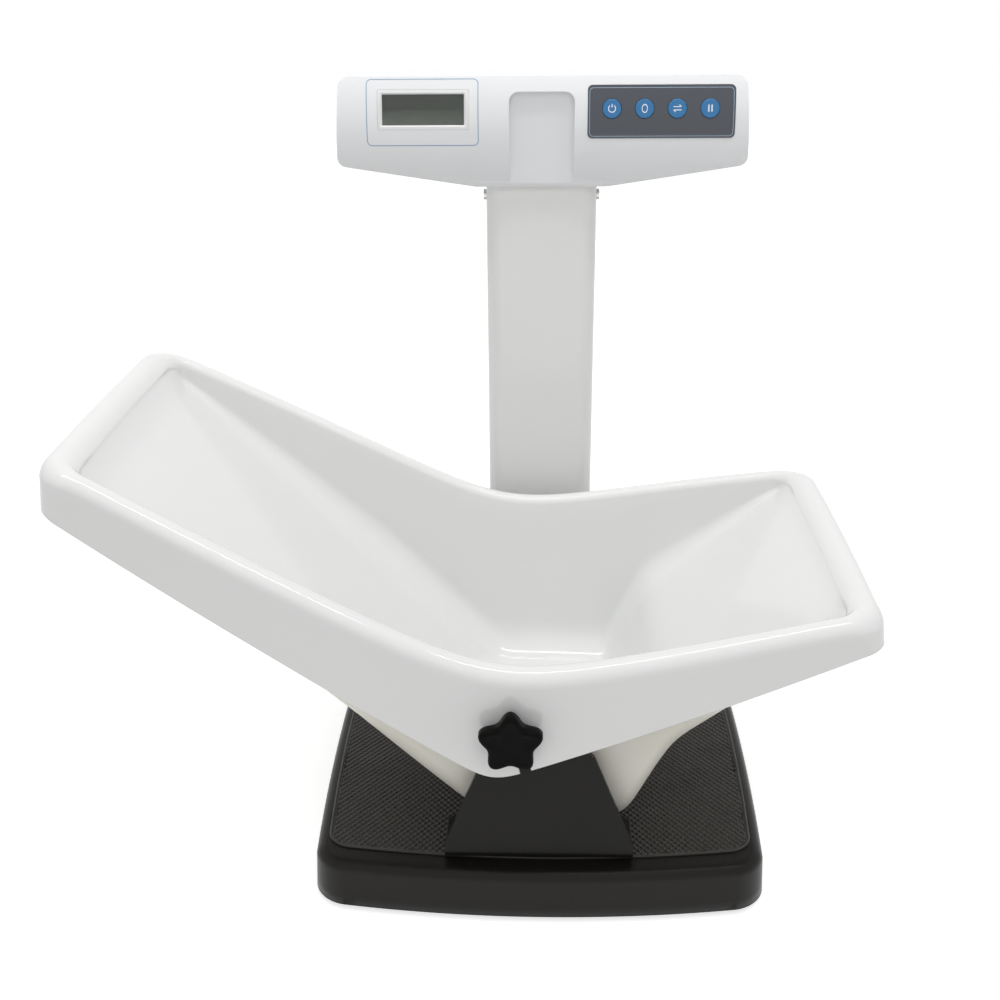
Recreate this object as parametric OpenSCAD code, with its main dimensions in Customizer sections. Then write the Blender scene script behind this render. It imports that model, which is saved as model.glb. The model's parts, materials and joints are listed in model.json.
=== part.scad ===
// Digital baby weighing scale: a moulded cradle tray clamped to two steel brackets,
// a load-cell platform under them, and a column behind that carries the display head.
// Millimetres, +Z up, X along the tray, +Y towards the column.

/* [Tray] */
// Length of the tray from its head end to its foot end
tray_len = 588; // [570:2:610]
// Distance from the column's centre plane to the tray's foot end
foot_reach = 244; // [238:1:250]
// Half of the tray's width, at its middle
tray_half = 164.5; // [164:0.5:168]
// How much nearer the middle each long side lies at the tray's ends
tray_bow = 22; // [10:1:24]
// Plan radius of the tray's corners
tray_corner = 36; // [34:1:42]
// Wall thickness of the tray
tray_wall = 4; // [3:0.5:4]
// Radius of the rim's outer roll
rim_out_r = 12; // [9:0.5:12.5]
// Radius of the rim's inner roll
rim_in_r = 7; // [5:0.5:7.5]
// X of the bend between the tray's two straight halves
bend_x = -31; // [-40:1:-24]
// Height of the rim's two straight lines where they cross at the bend
rim_low = 198; // [194:1:204]
// Height of the skirt's two lower edges where they cross at the bend
skirt_low = 118; // [112:1:122]
// Height of the inside of the bowl at its lowest place
bowl_z = 57; // [56:0.5:60]
// X where the backrest panel meets the bottom of the bowl
back_x = -40; // [-45:1:-36]
// X of the knee where the leg panel turns down into the bowl
knee_x = 95; // [90:1:98]
// Height of that knee
knee_z = 127; // [120:1:134]
// Height of the lip that stands round the ends of the panels
lip_h = 14; // [12:1:18]

/* [Platform] */
// Half of the base's width, at its middle
base_half_x = 176; // [170:1:182]
// How far the base reaches in front of the tray
base_front = 9.5; // [8:0.5:12]
// Plan radius of the base's corners
base_corner = 24; // [22:1:32]
// How far the base reaches behind the tray
base_rear = 69.5; // [68:0.5:73]
// Height of the base's top face
base_top = 42; // [41:0.5:43]
// Gap between the base's lower edge and the floor
base_gap = 5; // [4:0.5:6]
// Wall thickness of the base housing
base_wall = 3; // [2:0.5:3.5]
// Radius of the base's top edge
base_round = 8; // [6:0.5:9]
// Thickness of the ribbed mat
mat_t = 1.5; // [1:0.25:2]
// Smooth border of the base in front of and behind the mat
mat_border_y = 21; // [16:1:24]
// Smooth border of the base beside the mat
mat_border_x = 10; // [10:0.5:14]
// Thickness of the steel platform plate
deck_t = 3; // [2:0.5:4]
// Thickness of the bottom cover
cover_t = 1.5; // [1:0.5:2]

/* [Load cells and feet] */
// Distance from a side of the base in to its feet
foot_in_x = 38; // [36:1:46]
// Distance from the front or back of the base in to its feet
foot_in_y = 48; // [44:1:56]
// Diameter of a rubber foot
foot_d = 34; // [28:1:36]
// Height of a rubber foot
foot_h = 10; // [9:0.5:11]
// Length of a load-cell bar
cell_len = 60; // [54:1:66]
// Width of a load-cell bar
cell_w = 22; // [18:1:26]
// Height of a load-cell bar
cell_h = 12; // [11:0.5:13]
// Thickness of the riser between a load cell and the platform plate
riser_t = 3; // [2:0.5:4]

/* [Brackets and clamp] */
// Half of a bracket's width, at its bend
bracket_half = 70; // [64:1:74]
// Half of a bracket's width, at the height of its shoulders
shoulder_half = 40; // [36:1:44]
// Height of the shoulders
shoulder_z = 135; // [128:1:140]
// Thickness of the bracket steel
bracket_t = 4; // [3:0.5:4.5]
// Distance from the tray's side in to a bracket's face
bracket_in = 7.5; // [7:0.25:8.5]
// Depth of a bracket's foot flange
flange_d = 53; // [48:1:58]
// X of the clamp stud
stud_x = -20; // [-24:1:-16]
// Height of the clamp stud
stud_z = 160; // [156:1:163]
// Diameter of the clamp stud
stud_d = 8; // [6:0.5:8]
// Angle of the tray's slots and of the way that it lifts off, from upright
slot_angle = 18; // [12:1:24]
// Radius of the star knob at the tips of its lobes
knob_tip_r = 23.5; // [22:0.5:27]
// Radius of the star knob in its valleys
knob_valley_r = 17; // [16:0.5:19]
// Thickness of the star knob
knob_t = 14; // [13:0.5:18]
// Thickness of the clamp washer
washer_t = 1.8; // [1.2:0.1:2.5]

/* [Column] */
// Width of the column
column_w = 96; // [90:1:100]
// Depth of the column
column_d = 32; // [30:1:34]
// Gap between the tray and the column
column_clear = 25.5; // [24.5:0.5:27.5]
// Radius of the column's front corners
column_front_r = 14; // [11:0.5:15]
// Radius of the column's rear corners
column_rear_r = 6; // [5:0.5:7]
// Wall thickness of the column
column_wall = 2.5; // [2:0.25:3]
// Length of the column that goes up into the head
column_tuck = 14; // [10:1:16]

/* [Head] */
// Height of the head's lower face at the column
head_low = 480.5; // [470:0.5:490]
// Height of the head
head_h = 90.5; // [88:0.5:94]
// Half of the head's width, at its lower corners
head_half = 173; // [171:0.5:180]
// How much narrower each side is at the top
head_taper = 3.5; // [1:0.5:5]
// Height of the head's lower corners above its lower face
head_wing = 19; // [16:1:22]
// How far the head's face stands in front of the column
head_over = 15.5; // [14:0.5:16.5]
// How far the head reaches behind the column
head_behind = 18; // [17:0.5:20]
// How far the front face falls back from its crown to its top edge
head_crown = 12; // [10:0.5:12.5]
// Distance from the column's front back to where the head's shells meet
split_in = 16; // [14:0.5:18]
// Wall thickness of the head's shells
shell_t = 2.5; // [2:0.25:3]
// Half of the width of the recess over the column
scoop_half = 27.5; // [22:0.5:30]
// Distance from the column's front forward to the floor of the recess over it
scoop_over = 5.5; // [4.5:0.5:7]
// Height of the top of that recess above the head's lower face
scoop_h = 78.5; // [70:0.5:80]

/* [Display and keys] */
// Width of the display window
lcd_w = 68; // [60:1:70]
// Height of the display window
lcd_h = 24.5; // [20:0.5:26]
// Distance from the head's left end in to the display's middle
lcd_in = 74; // [71:1:77]
// Height of the window's and the keys' row above the head's lower face
panel_row = 65; // [62:0.5:66]
// Depth of the window below the head's face
lcd_sink = 2.2; // [1.5:0.1:2.5]
// Width of the keypad's film
pad_w = 122; // [116:1:126]
// Height of the keypad's film
pad_h = 42; // [38:1:44]
// Distance from the head's right end in to the key film's middle
pad_in = 74; // [72:1:76]
// Diameter of a key
key_d = 15.7; // [13:0.1:17]
// Distance between keys
key_pitch = 27; // [22:0.5:29]
// Distance from the key film's middle to the first key
key_in = 41; // [39:0.5:43]
// Travel of a key
key_travel = 0.5; // [0.3:0.1:0.6]
// Gap round a key
key_gap = 0.3; // [0.2:0.05:0.4]

/* [Hidden] */
$fn = 64;

// fits and small clearances
slide_gap = 0.3;         // beside a piece that moves
screw_gap = 0.15;        // round a screw's shank
hinge_gap = 0.07;        // round a hinge pin
eps = 0.5;               // how far a cut runs past a face

// slopes of the tray's straight stretches, in height over length
head_rise = 0.522;
foot_rise = 0.174;
head_cap = 157;          // height of the rim's head end above rim_low
foot_cap = 49;           // the same at its foot end
skirt_head_rise = 0.65;
skirt_foot_rise = 0.361;
back_rise = 0.989;
leg_rise = 0.852;
step_rise = 2.18;
rim_blend = 17;
skirt_blend = 7;
bowl_blend = 6;
knee_blend = 5;
lip_blend = 3;
end_bow = 2;             // how far each end bulges
wall_draft = 0.1;        // inward lean of the cavity's walls over their height
crease_share = 0.35;     // radius at the foot of a wall, over the wall's height
crease_max = 34;

// tray frame
tray_half_len = tray_len / 2;
tray_mid_x = foot_reach - tray_half_len;
rim_w = rim_out_r + rim_in_r;
side_steps = 30;
end_steps = 6;
corner_steps = 5;
arc_steps = 4;

// clamp, from the bracket's face outwards
stud_r = stud_d / 2;
bracket_y = tray_half - bracket_in;
base_half_y = tray_half + (base_front + base_rear) / 2;
base_y = (base_rear - base_front) / 2;
foot_x = base_half_x - foot_in_x;
foot_y = base_half_y - foot_in_y;
column_y = tray_half + column_clear;
head_front_y = column_y - head_over;
head_back_y = column_y + column_d + head_behind;
split_y = column_y + split_in;
scoop_y = column_y - scoop_over;
lcd_x = lcd_in - head_half;
pad_x = head_half - pad_in;
key_x = pad_x - key_in;
slot_r = stud_r + slide_gap;
collar_r = 7;
collar_y = tray_half - tray_wall - 0.8;
washer_y = tray_half + slide_gap;
washer_r = 12;
washer_hole_r = stud_r + 0.5;
knob_y = washer_y + washer_t + slide_gap;
knob_face_y = knob_y + knob_t;
insert_r = 6.5;
insert_len = 12;

// heights in the base
mat_top = base_top + mat_t;
deck_z = base_top - base_wall - deck_t;
cell_z = deck_z - riser_t - cell_h;
flange_top = mat_top + bracket_t;
bend_r = 8;
post_top = stud_z + 18;
bolt_r = 2.5;
bolt_x = 45;
bolt_in = 18;            // first row of bolts, from the bracket's face
bolt_row = 24;           // distance between the rows of bolts

// column and head
head_mid_z = head_low + head_h / 2;
head_top = head_low + head_h;
head_edge = 12;          // how far the faces turn in at the head's long edges
panel_z = head_low + panel_row;
column_top = head_low + column_tuck;
column_mid_y = column_y + column_d / 2;
foot_plate_t = 4;
yoke_t = 3;
yoke_top = column_top + 10;
yoke_low = head_low - 28;
side_screw_z = head_low - 10.5;

// batteries and their door
cell_d = 14.5;
cell_l = 50.5;
cell_row = 15.5;
bay_z = yoke_top + 7;
bay_half = cell_l + 4;
bay_h = 3 * cell_row + 4;
bay_d = 20;
bay_wall = 2;
bay_back_y = head_back_y - 4.4;
door_half = bay_half + 3;
door_t = 2.4;
door_gap = 0.35;
hinge_r = 2;
hinge_y = head_back_y - hinge_r;
hinge_z = bay_z - 1;
hinge_pin_r = 0.8;
door_top = bay_z + bay_h + 2;

// the frame's origin is at the middle of the whole, on the floor
frame_x = -tray_mid_x;
frame_y = (knob_face_y - head_back_y) / 2;

// ---------- curves and outlines ----------

// larger and smaller of two values, blended over k where they cross
function soft_max(a, b, k) = max(a, b) + k * ln(1 + exp(-abs(a - b) / k));
function soft_min(a, b, k) = -soft_max(-a, -b, k);

// n evenly spaced values from a towards b, with b left out
function span(a, b, n) = [for (i = [0 : n - 1]) a + (b - a) * i / n];

// stations round a rectangle, counter-clockwise from the left of the front side:
// each is a point of the inner rectangle and the outward direction there
function stations(w, d, nx, ny, nc) = concat(
    [for (x = span(-w, w, nx)) [[x, -d], [0, -1]]],
    [for (a = span(-90, 0, nc)) [[w, -d], [cos(a), sin(a)]]],
    [for (y = span(-d, d, ny)) [[w, y], [1, 0]]],
    [for (a = span(0, 90, nc)) [[w, d], [cos(a), sin(a)]]],
    [for (x = span(w, -w, nx)) [[x, d], [0, 1]]],
    [for (a = span(90, 180, nc)) [[-w, d], [cos(a), sin(a)]]],
    [for (y = span(d, -d, ny)) [[-w, y], [-1, 0]]],
    [for (a = span(180, 270, nc)) [[-w, -d], [cos(a), sin(a)]]]
);

// outline of the base, drawn in by inset; its sides bulge like a barrel's
function base_outline(inset_x, inset_y, corner = 0) =
    let (round_r = corner > 0 ? corner : max(base_corner - max(inset_x, inset_y), 6),
         w = base_half_x - inset_x, d = base_half_y - inset_y)
    [for (s = stations(w - round_r, d - round_r, 10, 10, 6))
        let (p = s[0] + s[1] * round_r)
        [p.x * (1 - 0.035 * pow(p.y / d, 2)),
         base_y + p.y * (1 - 0.07 * pow(p.x / w, 2))]];

// solid through a list of closed loops, capped at both ends
module skin(loops) {
    n = len(loops[0]);
    m = len(loops);
    polyhedron(
        points = [for (l = loops) each l],
        faces = concat(
            [[for (i = [0 : n - 1]) i]],
            [for (k = [0 : m - 2]) for (i = [0 : n - 1]) let (j = (i + 1) % n)
                each [[k * n + i, (k + 1) * n + i, (k + 1) * n + j],
                      [k * n + i, (k + 1) * n + j, k * n + j]]],
            [[for (i = [0 : n - 1]) m * n - 1 - i]]
        ),
        convexity = 6
    );
}

// XZ outline pushed from y0 to y1
module along_y(y0, y1) {
    translate([0, y1, 0]) rotate([90, 0, 0]) linear_extrude(y1 - y0) children();
}

// YZ outline pushed from x0 to x1
module along_x(x0, x1) {
    translate([x0, 0, 0]) rotate([90, 0, 90]) linear_extrude(x1 - x0) children();
}

// rounded rectangle from exact squares and circles
module round_rect(w, d, r) {
    square([w - 2 * r, d], center = true);
    square([w, d - 2 * r], center = true);
    for (x = [-1, 1]) for (y = [-1, 1])
        translate([x * (w / 2 - r), y * (d / 2 - r)]) circle(r = r);
}

// block given by its lowest and highest corner
module block(low, high) {
    translate(low) cube(high - low);
}

// pan-head screw that points down, with its head's underside at the origin
module screw(d, length, head_d = 0, head_t = 0) {
    head = head_d > 0 ? head_d : 2 * d;
    t = head_t > 0 ? head_t : 0.6 * d;
    difference() {
        union() {
            translate([0, 0, -length]) cylinder(d = d, h = length, $fn = 32);
            cylinder(d = head, h = t, $fn = 32);
        }
        translate([0, 0, 0.4 * t]) for (a = [0, 90]) rotate(a)
            translate([-0.3 * head, -0.08 * head, 0]) cube([0.6 * head, 0.16 * head, t]);
    }
}

// everything is drawn in the tray's own frame and moved to the part's frame here
module placed() {
    translate([frame_x, frame_y, 0]) children();
}

// ---------- cradle tray ----------

// heights along the tray
function rim_z(x) = soft_min(rim_low + (x < bend_x ? head_cap : foot_cap),
    soft_max(rim_low - head_rise * (x - bend_x), rim_low + foot_rise * (x - bend_x), rim_blend), 5);
function skirt_z(x) = let (u = x - bend_x + 3)
    soft_max(skirt_low - skirt_head_rise * u, skirt_low + skirt_foot_rise * u, skirt_blend);
function backrest_z(x) = bowl_z - back_rise * (x - back_x);
function leg_z(x) = soft_min(knee_z + leg_rise * (x - knee_x),
                             knee_z + step_rise * (x - knee_x), knee_blend);
function cavity_z(x) = soft_min(rim_z(x) - lip_h,
    soft_max(soft_max(bowl_z, backrest_z(x), bowl_blend), leg_z(x), bowl_blend), lip_blend);

tray_stations = stations(tray_half_len - tray_corner, tray_half - tray_corner,
                         side_steps, end_steps, corner_steps);

// point of the tray's plan at a station, drawn in from the outside
function tray_plan(s, inset) =
    let (p = s[0] + s[1] * (tray_corner - inset))
    [p.x * (1 - end_bow / tray_half_len * pow(p.y / tray_half, 2)) + tray_mid_x,
     p.y * (1 - tray_bow / tray_half * pow(p.x / tray_half_len, 2))];

// one section of the tray at a station: skirt, rolled rim, wall, crease, panel
function tray_section(s) =
    let (edge = tray_plan(s, rim_w),
         wall_h = max(rim_z(edge.x) - rim_in_r - cavity_z(edge.x), 2),
         crease = min(crease_max, crease_share * wall_h + 1),
         foot = rim_w + wall_draft * (wall_h - crease))
    concat(
        [let (p = tray_plan(s, 0)) [p.x, p.y, skirt_z(p.x)]],
        [for (i = [0 : arc_steps]) let (a = 90 * i / arc_steps,
             p = tray_plan(s, rim_out_r * (1 - cos(a))))
             [p.x, p.y, rim_z(p.x) - rim_out_r * (1 - sin(a))]],
        [for (a = [30, 60, 84]) let (p = tray_plan(s, rim_out_r + rim_in_r * sin(a)))
             [p.x, p.y, rim_z(p.x) - rim_in_r * (1 - cos(a))]],
        [for (i = [0 : arc_steps]) let (a = 90 * i / arc_steps,
             p = tray_plan(s, foot + crease * (1 - cos(a))))
             [p.x, p.y, cavity_z(p.x) + crease * (1 - sin(a))]],
        [let (p = tray_plan(s, foot + crease + 6)) [p.x, p.y, cavity_z(p.x)]]
    );

tray_top = [for (s = tray_stations) tray_section(s)];
tray_count = len(tray_stations);
tray_rings = len(tray_top[0]);

// outward direction of the tray's shown side at station i and ring k
function tray_normal(i, k) =
    let (n = tray_count, r = tray_rings,
         along = tray_top[(i + 1) % n][k] - tray_top[(i + n - 1) % n][k],
         across = tray_top[i][min(k + 1, r - 1)] - tray_top[i][max(k - 1, 0)],
         v = cross(along, across))
    v / norm(v);

tray_under = [for (i = [0 : tray_count - 1]) [for (k = [0 : tray_rings - 1])
    tray_top[i][k] - tray_wall * tray_normal(i, k)]];

// station that faces station i across the tray
function opposite(i) = (2 * side_steps + 2 * corner_steps + end_steps - i + tray_count) % tray_count;

module tray_shell() {
    n = tray_count;
    r = tray_rings;
    base = n * r;                                   // first point of the under side
    left = 2 * side_steps + 3 * corner_steps + end_steps + end_steps / 2;
    polyhedron(
        points = concat([for (s = tray_top) each s], [for (s = tray_under) each s]),
        faces = concat(
            [for (i = [0 : n - 1]) for (k = [0 : r - 2]) let (j = (i + 1) % n)
                each [[i * r + k, i * r + k + 1, j * r + k + 1], [i * r + k, j * r + k + 1, j * r + k]]],
            [for (i = [0 : n - 1]) for (k = [0 : r - 2]) let (j = (i + 1) % n)
                each [[base + i * r + k, base + j * r + k + 1, base + i * r + k + 1],
                      [base + i * r + k, base + j * r + k, base + j * r + k + 1]]],
            // lower edge of the skirt
            [for (i = [0 : n - 1]) let (j = (i + 1) % n)
                each [[i * r, j * r, base + j * r], [i * r, base + j * r, base + i * r]]],
            // the panels, in strips from the front crease to the rear one
            [for (q = [0 : n / 2 - 1]) let (
                a = (left + q) % n * r + r - 1, b = (left + q + 1) % n * r + r - 1,
                c = (left + n - q - 1) % n * r + r - 1, d = (left + n - q) % n * r + r - 1)
                each concat(
                    b == c ? [] : [[a, c, b], [base + a, base + b, base + c]],
                    a == d ? [] : [[a, d, c], [base + a, base + c, base + d]])]
        ),
        convexity = 10
    );
}

// slot that opens downwards, for the stud on either side
module stud_slot(y0, y1) {
    translate([stud_x, 0, stud_z]) rotate([0, -slot_angle, 0]) along_y(y0, y1)
        polygon(concat([for (i = [0 : 12]) slot_r * [cos(15 * i), sin(15 * i)]],
                       [[-slot_r, -stud_z / 2], [slot_r, -stud_z / 2]]));
}

module cradle_tray() {
    color("whitesmoke") placed() difference() {
        tray_shell();
        for (side = [-1, 1])
            stud_slot(side > 0 ? tray_half - tray_wall - 4 : -tray_half - 2,
                      side > 0 ? tray_half + 2 : -tray_half + tray_wall + 4);
    }
}

// ---------- platform ----------

// places for each of the four corners
corners = [[-1, -1], [1, -1], [-1, 1], [1, 1]];
function corner_at(c) = [c.x * foot_x, base_y + c.y * foot_y];

post_x = base_half_x - 56;
post_y = base_half_y - 104;
cover_posts = [[-post_x, -post_y], [post_x, -post_y], [-post_x, post_y], [post_x, post_y],
    [0, 54 - base_half_y], [-60, base_half_y - 44], [60, base_half_y - 44]];
bracket_bolt_places = [for (side = [-1, 1]) for (x = [-bolt_x, bolt_x]) for (row = [0, bolt_row])
    [x, side * (bracket_y - bolt_in - row)]];
foot_bolt_places = [for (x = [-30, 30]) for (y = [-7, 4]) [x, column_mid_y + y]];
cell_bolts = [0.52, 0.72];   // places along a load cell's length, from its foot
cell_tail = 0.16;            // share of that length beyond the foot
cable_x = 0;
cable_r = 3;
cable_hole_r = 7;

module deck_holes(z0, z1) {
    for (p = concat(bracket_bolt_places, foot_bolt_places))
        translate([p.x, p.y, z0]) cylinder(r = bolt_r + screw_gap, h = z1 - z0, $fn = 32);
    translate([cable_x, column_mid_y, z0]) cylinder(r = cable_hole_r, h = z1 - z0);
}

module base_housing() {
    top_inset = 1.5;
    color([0.1, 0.1, 0.1]) placed() {
        difference() {
            skin(concat(
                [[for (p = base_outline(0, 0)) [p.x, p.y, base_gap]]],
                [for (i = [0 : 4]) let (a = 22.5 * i, inset = top_inset + base_round * (1 - cos(a)))
                    [for (p = base_outline(inset, inset))
                        [p.x, p.y, base_top - base_round * (1 - sin(a))]]]
            ));
            skin([
                [for (p = base_outline(base_wall, base_wall)) [p.x, p.y, base_gap - 1]],
                [for (p = base_outline(base_wall + top_inset, base_wall + top_inset))
                    [p.x, p.y, base_top - base_round - base_wall]],
                [for (p = base_outline(base_wall + top_inset + 5, base_wall + top_inset + 5))
                    [p.x, p.y, base_top - base_wall]]
            ]);
            deck_holes(base_top - base_wall - eps, base_top + eps);
        }
        // posts for the cover's screws
        for (p = cover_posts) difference() {
            translate([p.x, base_y + p.y, base_gap + 1 + cover_t])
                cylinder(r = 5, h = base_top - base_wall - base_gap - 1 - cover_t);
            translate([p.x, base_y + p.y, base_gap])
                cylinder(r = 1.5 + screw_gap, h = 16, $fn = 32);
        }
    }
}

module platform_plate() {
    edge = 24;
    color("silver") placed() difference() {
        translate([0, 0, deck_z]) linear_extrude(deck_t) polygon(base_outline(edge, edge, 12));
        deck_holes(deck_z - eps, deck_z + deck_t + eps);
        for (p = cover_posts)
            translate([p.x, base_y + p.y, deck_z - eps]) cylinder(r = 5.5, h = deck_t + 2 * eps);
        for (c = corners) for (u = cell_bolts) let (p = corner_at(c))
            translate([p.x - c.x * cell_len * u, p.y, deck_z - eps])
                cylinder(r = 2 + screw_gap, h = deck_t + 2 * eps, $fn = 32);
    }
}

module bottom_cover() {
    color("dimgray") placed() difference() {
        translate([0, 0, base_gap + 1]) linear_extrude(cover_t)
            polygon(base_outline(base_wall + 0.6, base_wall + 0.6));
        for (c = corners) let (p = corner_at(c))
            translate([p.x, p.y, base_gap]) cylinder(d = foot_d + 6, h = cover_t + 2);
        for (p = cover_posts)
            translate([p.x, base_y + p.y, base_gap]) cylinder(r = 1.5 + screw_gap, h = cover_t + 2, $fn = 32);
    }
}

module cover_screws() {
    color("silver") placed() for (p = cover_posts)
        translate([p.x, base_y + p.y, base_gap + 1]) mirror([0, 0, 1]) screw(3, 14);
}

module platform_mat() {
    notch = 1;
    color([0.16, 0.15, 0.15]) placed() difference() {
        translate([0, 0, base_top]) linear_extrude(mat_t) polygon(base_outline(mat_border_x, mat_border_y, 16));
        block([-column_w / 2 - notch, column_y - notch, base_top - eps],
              [column_w / 2 + notch, base_y + base_half_y, mat_top + eps]);
        for (p = bracket_bolt_places)
            translate([p.x, p.y, base_top - eps]) cylinder(r = bolt_r + screw_gap, h = mat_t + 2 * eps, $fn = 32);
    }
}

// bar with two joined holes that let it bend; its outer end rests on a foot
module load_cell(c) {
    p = corner_at(c);
    color("lightsteelblue") placed() translate([p.x, p.y, cell_z]) mirror([c.x > 0 ? 1 : 0, 0, 0])
        difference() {
            translate([-cell_tail * cell_len, -cell_w / 2, 0]) cube([cell_len, cell_w, cell_h]);
            for (u = [0.2, 0.36])
                translate([cell_len * u, cell_w, cell_h / 2]) rotate([90, 0, 0]) cylinder(r = 4, h = 2 * cell_w);
            translate([cell_len * 0.2, -cell_w, cell_h / 2 - 1.5]) cube([cell_len * 0.16, 2 * cell_w, 3]);
            cylinder(r = 4 + screw_gap, h = 3 * cell_h, center = true);
            for (u = cell_bolts) translate([cell_len * u, 0, -eps])
                cylinder(r = 2 + screw_gap, h = cell_h + 2 * eps, $fn = 32);
        }
}
module load_cell_front_left() { load_cell(corners[0]); }
module load_cell_front_right() { load_cell(corners[1]); }
module load_cell_rear_left() { load_cell(corners[2]); }
module load_cell_rear_right() { load_cell(corners[3]); }

module cell_risers() {
    color("silver") placed() for (c = corners) let (p = corner_at(c))
        translate([p.x, p.y, cell_z + cell_h]) mirror([c.x > 0 ? 1 : 0, 0, 0]) difference() {
            translate([0.45 * cell_len, -cell_w / 2, 0])
                cube([(1 - cell_tail - 0.45) * cell_len, cell_w, riser_t]);
            for (u = cell_bolts) translate([cell_len * u, 0, -eps])
                cylinder(r = 2 + screw_gap, h = riser_t + 2 * eps, $fn = 32);
        }
}

module cell_screws() {
    color("gray") placed() for (c = corners) for (u = cell_bolts) let (p = corner_at(c))
        translate([p.x - c.x * cell_len * u, p.y, cell_z]) mirror([0, 0, 1])
            screw(4, cell_h + riser_t + deck_t - 0.5);
}

module rubber_foot(c) {
    p = corner_at(c);
    color([0.12, 0.12, 0.12]) placed() translate([p.x, p.y, 0]) difference() {
        union() {
            cylinder(r1 = foot_d / 2 - 1.5, r2 = foot_d / 2, h = 1.5);
            translate([0, 0, 1.5]) cylinder(d = foot_d, h = foot_h - 3);
            translate([0, 0, foot_h - 1.5]) cylinder(r1 = foot_d / 2, r2 = foot_d / 2 - 1.5, h = 1.5);
        }
        translate([0, 0, 4]) cylinder(r = 8 + 0.02, h = foot_h);
    }
}
module foot_front_left() { rubber_foot(corners[0]); }
module foot_front_right() { rubber_foot(corners[1]); }
module foot_rear_left() { rubber_foot(corners[2]); }
module foot_rear_right() { rubber_foot(corners[3]); }

// threaded stud with a disc in the rubber and a hexagon under the load cell
module foot_studs() {
    color("silver") placed() for (c = corners) let (p = corner_at(c)) translate([p.x, p.y, 0]) {
        translate([0, 0, 4]) cylinder(r = 8, h = foot_h - 4);
        translate([0, 0, foot_h - eps]) cylinder(r = 4, h = cell_z + cell_h - foot_h + eps);
        translate([0, 0, cell_z - 5]) cylinder(r = 7.5, h = 5, $fn = 6);
    }
}

board_z = deck_z - 13;
board_t = 1.6;
board_mid_y = column_y - 85;
board_half_x = 38;
board_half_y = 22;
pillar_places = [for (x = [-32, 32]) for (y = [-16, 16]) [x, board_mid_y + y]];

module junction_board() {
    color("seagreen") placed() {
        difference() {
            block([-board_half_x, board_mid_y - board_half_y, board_z],
                  [board_half_x, board_mid_y + board_half_y, board_z + board_t]);
            for (p = pillar_places) translate([p.x, p.y, board_z - eps])
                cylinder(r = 1.5 + screw_gap, h = board_t + 2 * eps, $fn = 32);
        }
        block([-7, board_mid_y + board_half_y - 10, board_z + board_t],
              [7, board_mid_y + board_half_y - 1, board_z + board_t + 7]);
        for (x = [-24, -12, 12, 24])
            block([x - 4, board_mid_y - board_half_y + 2, board_z - 5],
                  [x + 4, board_mid_y - board_half_y + 8, board_z]);
        block([-8, board_mid_y - 8, board_z - 2], [8, board_mid_y + 8, board_z]);
    }
}

module board_pillars() {
    color("gold") placed() for (p = pillar_places) translate([p.x, p.y, 0]) {
        translate([0, 0, board_z + board_t])
            cylinder(r = 3, h = deck_z - board_z - board_t, $fn = 6);
        translate([0, 0, board_z - 2.2]) cylinder(r = 3, h = 2.2, $fn = 32);
        translate([0, 0, board_z - 1]) cylinder(r = 1.5, h = board_t + 1.5, $fn = 32);
    }
}

// ---------- brackets and clamp ----------

// upright plate, bend and foot flange, drawn for the rear side
module bracket() {
    low = mat_top + bend_r;
    inner = bracket_y - flange_d;
    difference() {
        union() {
            along_y(bracket_y - bracket_t, bracket_y) polygon([
                [-bracket_half, low], [bracket_half, low], [bracket_half, low + 6],
                [shoulder_half, shoulder_z], [stud_x + 18, post_top - 6], [stud_x + 12, post_top],
                [stud_x - 12, post_top], [stud_x - 18, post_top - 6], [-shoulder_half, shoulder_z],
                [-bracket_half, low + 6]]);
            translate([0, 0, mat_top]) linear_extrude(bracket_t) polygon([
                [-bracket_half, bracket_y - bend_r], [-bracket_half, inner + 8],
                [-bracket_half + 8, inner], [bracket_half - 8, inner],
                [bracket_half, inner + 8], [bracket_half, bracket_y - bend_r]]);
            intersection() {
                block([-bracket_half, bracket_y - bend_r, mat_top], [bracket_half, bracket_y, low]);
                translate([0, bracket_y - bend_r, low]) rotate([0, 90, 0]) difference() {
                    cylinder(r = bend_r, h = 3 * bracket_half, center = true);
                    cylinder(r = bend_r - bracket_t, h = 4 * bracket_half, center = true);
                }
            }
        }
        for (p = bracket_bolt_places)
            translate([p.x, abs(p.y), mat_top - eps])
                cylinder(r = bolt_r + screw_gap, h = bracket_t + 2 * eps, $fn = 32);
        translate([stud_x, bracket_y + eps, stud_z]) rotate([90, 0, 0])
            cylinder(r = stud_r + 0.02, h = bracket_t + 2 * eps);
    }
}

module front_bracket() {
    color([0.14, 0.14, 0.15]) placed() mirror([0, 1, 0]) bracket();
}

module rear_bracket() {
    color([0.14, 0.14, 0.15]) placed() bracket();
}

module bracket_bolts() {
    color("dimgray") placed() for (p = bracket_bolt_places)
        translate([p.x, p.y, flange_top])
            screw(2 * bolt_r, flange_top - deck_z + 2, 10, 2.6);
}

// shoulder stud in a bracket: riveted end, collar against the plate, shank to the reach asked for
module shoulder_stud(reach) {
    rotate([-90, 0, 0]) {
        translate([0, 0, bracket_y - bracket_t - 1]) cylinder(r = stud_r + 1, h = 1);
        translate([0, 0, bracket_y - bracket_t - 1]) cylinder(r = stud_r, h = reach - bracket_y + bracket_t + 1);
        translate([0, 0, bracket_y]) cylinder(r = collar_r, h = collar_y - bracket_y);
    }
}

module clamp_stud() {
    color("silver") placed() mirror([0, 1, 0]) translate([stud_x, 0, stud_z])
        shoulder_stud(knob_y + insert_len - 2);
}

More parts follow.
